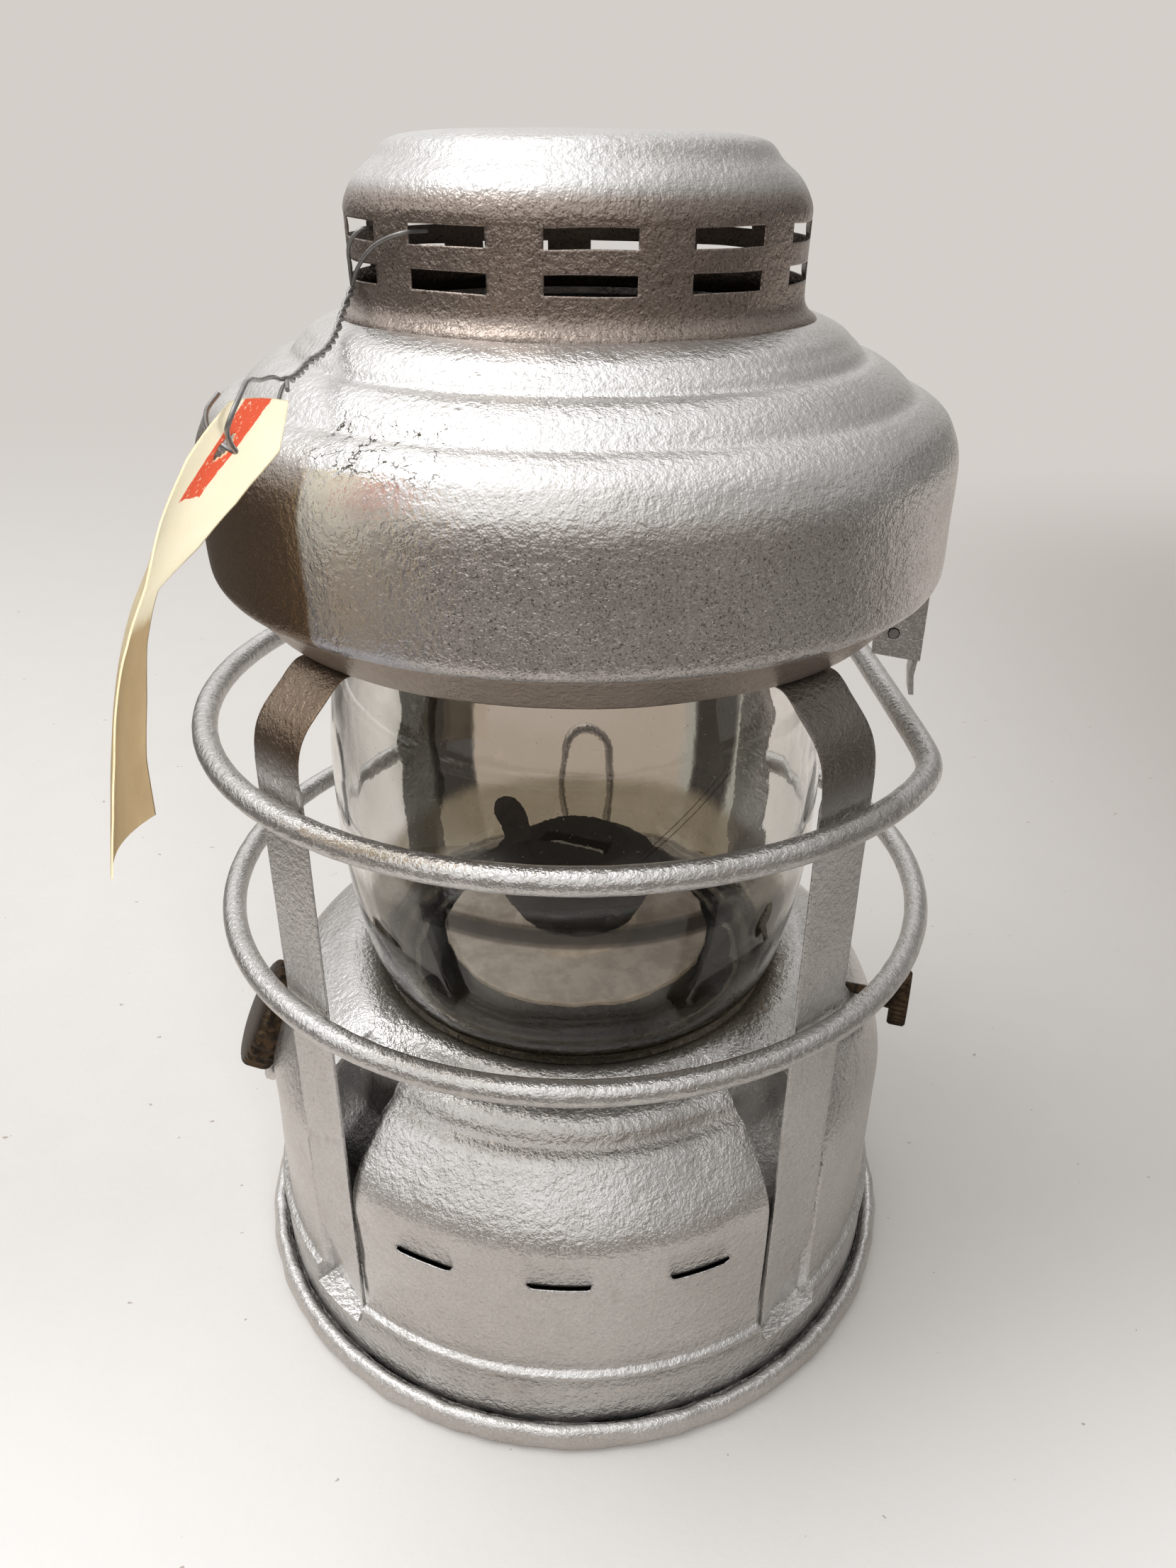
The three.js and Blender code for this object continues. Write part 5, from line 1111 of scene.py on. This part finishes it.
def add_base_shell(paint):
    outlines = {kind: base_outline(kind) for kind in DOMES}
    columns = base_azimuths()
    rows = len(outlines["front"])
    dome = rows - DOME_ROWS
    slit = next(j for j in range(rows) if outlines["front"][j][1] > LOUVRE_SLIT)
    points, opened = [], []
    for azimuth, pocket, from_strap in columns:
        front = float(ease(*FRONT_FADE, from_strap))
        panel = outlines["front"] * front + outlines["side"] * (1 - front)
        pressed = louvre_share(azimuth) if abs(azimuth) < LOUVRES_WITHIN else 0.0
        opened.append(pressed > LOUVRE_OPEN)
        for j in range(rows):
            up_dome = max(0, j - dome) / DOME_ROWS
            depth = pocket * float(ease(*POCKET_FADE, up_dome))
            radius, height = outlines["pocket"][j] * depth + panel[j] * (1 - depth)
            if pocket > 0.5 and height > POCKET_FOOT:
                radius = min(radius, POCKET_RADIUS)
            if pressed and height > LOUVRES_ABOVE:
                above = (height - LOUVRE_SLIT) / LOUVRE_HEIGHT
                if j >= slit:
                    radius -= LOUVRE_DEPTH * pressed * float(ease(1.0, 0.1, above))
                else:
                    radius += LOUVRE_LIP * pressed * float(ease(-0.25, 0, above))
                height += LOUVRE_BOW * (1 - pressed) * float(ease(0.5, 0, abs(above)))
            point = polar(radius, azimuth, height)
            if pocket < 1 and height > WALL_EVEN_BELOW:
                growth = WALL_UNEVENNESS * (1 - pocket) * (bump(point, 21, 9.1) - 0.3)
                point = widened(point, growth, max(radius, 1))
            points.append(point)

    def keep(i, j):
        return not (j == slit - 1 and opened[i] and opened[(i + 1) % len(columns)])

    faces = grid_faces(len(columns), rows, True, keep=keep)
    piece = make_piece("base_shell_pressed", (points, faces), paint, "lantern", ["base_shell"], sharp=50)
    thicken(piece, SHEET)


def add_base_rim(paint):
    middle = (BEAD_INSIDE + BEAD_RADIUS) / 2
    half = (BEAD_RADIUS - BEAD_INSIDE) / 2
    bead = [
        (middle + half * math.cos(a), BEAD_HEIGHT / 2 + BEAD_HEIGHT / 2 * math.sin(a))
        for a in np.linspace(BEAD_START, math.pi, 26)
    ]
    shape = revolve(PAN_BELOW + bead + PAN_ABOVE, steps=420, dent=0.5, dent_scale=6, seed=3.9)
    make_piece("base_rim", shape, paint, "lantern", ["base_pan"])


# Globe, burner, cap and knob


def add_globe(material):
    outline = smooth_outline(GLOBE_OUTSIDE, 90) + smooth_outline(GLOBE_INSIDE, 90)
    shape = revolve(outline, steps=240, dent=0.1, dent_scale=40, seed=8.2)
    make_piece("globe_blown", shape, material, "lantern", ["globe"], 80)


def add_tab(material):
    """The bent tab on top of the flame hood, with ragged edges."""
    outline = smooth_line(TAB_OUTLINE + TAB_OUTLINE[:1], TAB_POINTS + 1)[:-1]
    middle = outline.mean(axis=0)
    back = TAB_FRONT + TAB_THICKNESS
    points = []
    for depth, spread in ((TAB_FRONT, 0), (TAB_FRONT, 1), (back, 1), (back, 0)):
        for x, z in outline:
            ragged = spread * (1 + TAB_RAGGEDNESS * bump((x, z, 0), 1.4, 8.0))
            spot = middle + (np.array((x, z)) - middle) * ragged
            points.append((spot[0], depth, spot[1]))
    shape = (points, grid_faces(4, len(outline), wrap_rows=True))
    make_piece("flame_hood_tab_ragged", shape, material, "lantern", ["flame_hood_tab"], sharp=30)


def fluted(outline, flutes, depth, axis):
    """Turns (radius, height, flute share) about an axis, with flutes pressed into its side.

    The axis leaves the lantern at an azimuth, and has a tilt, a distance out, a height and a distance aside.
    """
    azimuth, tilt, out, up, aside = axis
    steps = flutes * STEPS_PER_FLUTE
    points = []
    for i in range(steps):
        angle = 2 * math.pi * i / steps
        dip = depth * (0.5 - 0.5 * math.cos(flutes * angle)) ** 0.7
        for radius, height, share in outline:
            reach = radius - dip * share
            y, z = turned(reach * math.sin(angle), height, 90 - tilt)
            points.append((*turned(reach * math.cos(angle) + aside, y - out, azimuth), z + up))
    return points, grid_faces(steps, len(outline), True, True)


def add_cap_and_knob(material):
    cap = fluted(CAP, flutes=30, depth=0.7, axis=FILLER_AXIS)
    make_piece("fuel_cap", cap, material, "cap", ["filler_cap"])
    outline = [(radius, KNOB_FOOT + height, share) for radius, height, share in KNOB]
    knob = fluted(outline, flutes=34, depth=0.45, axis=WINDER_AXIS)
    make_piece("winder_knob", knob, material, "wick_winder", ["wick_knob"])


# Stage and light


def add_floor():
    """Pale paper, with painted light in front of the lantern. The lantern mirrors a plainer floor, whose
    colour is painted darker away from it as shade.
    """
    s = new_shader("floor_paper")
    mottle = s.noise(26, 5, 0.6)
    fibre = s.noise(2.2, 4, 0.7)
    paper = s.mix(mottle, *PAPER)
    right = s.ramp(s.axis("X"), -0.05, 0.55)
    paper = s.mix(s.times(right, s.window(s.axis("Y"), -0.3, 0.9, 0.1, 0.3)), paper, PAPER_SHADED)
    paper = s.mix(s.times(s.ramp(fibre, 0.45, 0.7), 0.08), paper, PAPER_FIBRE)
    # Painted light: the paper lighter in front of the lantern
    paper = s.mix(s.ramp(s.axis("Y"), 0.0, -0.15), paper, PAPER_LIT_FRONT)
    flecks = s.ramp(s.noise(9, 3, 0.85), 0.70, 0.715)
    paper = s.mix(s.times(flecks, 0.6), paper, PAPER_FLECK)
    normal = s.bumps((mottle, 0.5), (fibre, 0.08))
    seen = s.surface(paper, 0.9, normal, Specular_IOR_Level=0.2)
    # Painted shade in the mirrored floor: darker to the right, to the far left and in front
    near_right = s.times(right, s.ramp(s.axis("Y"), 0.25, 0.0))
    plain = s.mix(near_right, FLOOR_NEAR, FLOOR_RIGHT)
    plain = s.mix(s.ramp(s.axis("X"), -0.2, -0.42), plain, FLOOR_LEFT)
    plain = s.mix(s.ramp(s.axis("Y"), -0.19, -0.34), plain, FLOOR_FRONT)
    mirrored = s.node("BsdfDiffuse", {"Color": plain})
    to_camera = s.node("LightPath").outputs["Is Camera Ray"]
    floor_shader = s.blend(s.math("SUBTRACT", 1.0, to_camera), seen, mirrored)
    haze = s.node("Emission", {"Color": BACKGROUND})
    far = s.times(s.ramp(s.axis("Y"), 0.1, 1.3), to_camera)
    mesh = bpy.data.meshes.new("floor")
    mesh.from_pydata(FLOOR_CORNERS, [], [(0, 1, 2, 3)])
    mesh.materials.append(s.finish(s.blend(far, floor_shader, haze)))
    floor = bpy.data.objects.new("floor", mesh)
    bpy.context.scene.collection.objects.link(floor)


def add_world():
    """A pale room whose camera side is darker near the horizon."""
    s = Shader(bpy.data.worlds.new("room"), "Generated")
    sides = s.mix(s.ramp(s.axis("X"), -0.7, 0.4), *ROOM_SIDES)
    sides = s.mix(s.ramp(s.axis("Y"), 0.72, 0.93), sides, ROOM_BACK)
    sides = s.mix(s.ramp(s.axis("Y"), -0.2, -0.8), sides, ROOM_FRONT)
    to_right = s.ramp(s.axis("X"), -0.1, 0.62)
    room = s.mix(s.ramp(s.axis("Z"), 0.08, 0.32), sides, s.mix(to_right, *ROOM_BELOW))
    room = s.mix(s.ramp(s.axis("Z"), 0.5, 0.9), room, s.mix(to_right, *ROOM_ABOVE))
    path = s.node("LightPath").outputs
    seen = s.math("MAXIMUM", path["Is Camera Ray"], path["Is Transmission Ray"])
    background = s.node("Background", {"Color": s.mix(seen, room, BACKGROUND)})
    bpy.context.scene.world = s.finish(background, "OutputWorld")


def add_lamp(name, place, target, size, power, spread=180, glossy=True):
    """A soft lamp. Places and sizes are in metres."""
    data = bpy.data.lights.new(name, "AREA")
    data.shape = "RECTANGLE"
    data.size, data.size_y = size
    data.energy = power
    data.spread = math.radians(spread)
    lamp = bpy.data.objects.new(name, data)
    lamp.location = place
    lamp.visible_glossy = glossy
    lamp.visible_transmission = glossy
    lamp.rotation_euler = (Vector(target) - Vector(place)).to_track_quat("-Z", "Y").to_euler()
    bpy.context.scene.collection.objects.link(lamp)


def dress_cad_nodes(finishes):
    """Gives every CAD node that stays in view its material."""
    for material, names in finishes:
        for name in names.split():
            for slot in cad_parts[name].material_slots:
                slot.material = material


def main():
    add_camera()
    wire_steel = steel("tie_wire_steel", 0.3, 0.36)
    wire, ends, line = add_tie_wire(wire_steel)
    add_strands(wire_steel)
    add_tag(card(), card_back())

    paints = {part: silver_paint(part) for part in COATS}
    dark_bronze = bronze("dark_bronze", OLD_BRASS)
    dull_brass = bronze("dull_brass", DULL_BRASS, 0.6)
    sooty = matte("soot", SOOT, 3)

    add_hood(paints["hood"])
    add_chimney(paints["chimney"])
    add_top_ring(paints["lip"])
    add_rings(paints["cage"])
    add_straps(paints["cage"])
    add_hanger(paints["cage"])
    add_base_shell(paints["base"])
    add_base_rim(paints["base"])
    add_globe(glass())
    add_tab(sooty)
    add_cap_and_knob(dark_bronze)
    dress_cad_nodes([
        (paints["cage"], "filler_neck filler_collar globe_seat rivet_front_left rivet_front_right"),
        (paints["cage"], "rivet_rear_right rivet_rear_left hood_floor hood_hinge_leaf ring_hinge_leaf"),
        (paints["cage"], "latch_lever latch_bracket latch_keeper"),
        (steel("plain_steel", 0.35), "fuel_tank inner_flue hinge_pin latch_pin latch_spring"),
        (dull_brass, "burner_seat burner_cup wick_tube"),
        (dark_bronze, "wick_shaft wick_wheel_outer wick_wheel_inner"),
        (sooty, "flame_hood"),
        (matte("burner_beige", BEIGE, 7, 0.7, 0.05), "burner_plate"),
        (matte("cork", CORK, 1.2), "filler_gasket"),
        (matte("cotton", COTTON, 0.8), "wick"),
    ])

    add_floor()
    add_world()
    add_lamp("soft_box", place=(-0.5, -0.05, 1.25), target=(0, 0, 0.12), size=(0.6, 0.6), power=4.0)
    add_lamp("low_fill", place=(0.17, -0.62, 0.2), target=(-0.08, -0.06, 0.21), size=(0.16, 0.12), power=0.42,
             spread=40, glossy=False)

    bpy.context.scene.view_settings.view_transform = "Standard"


main()
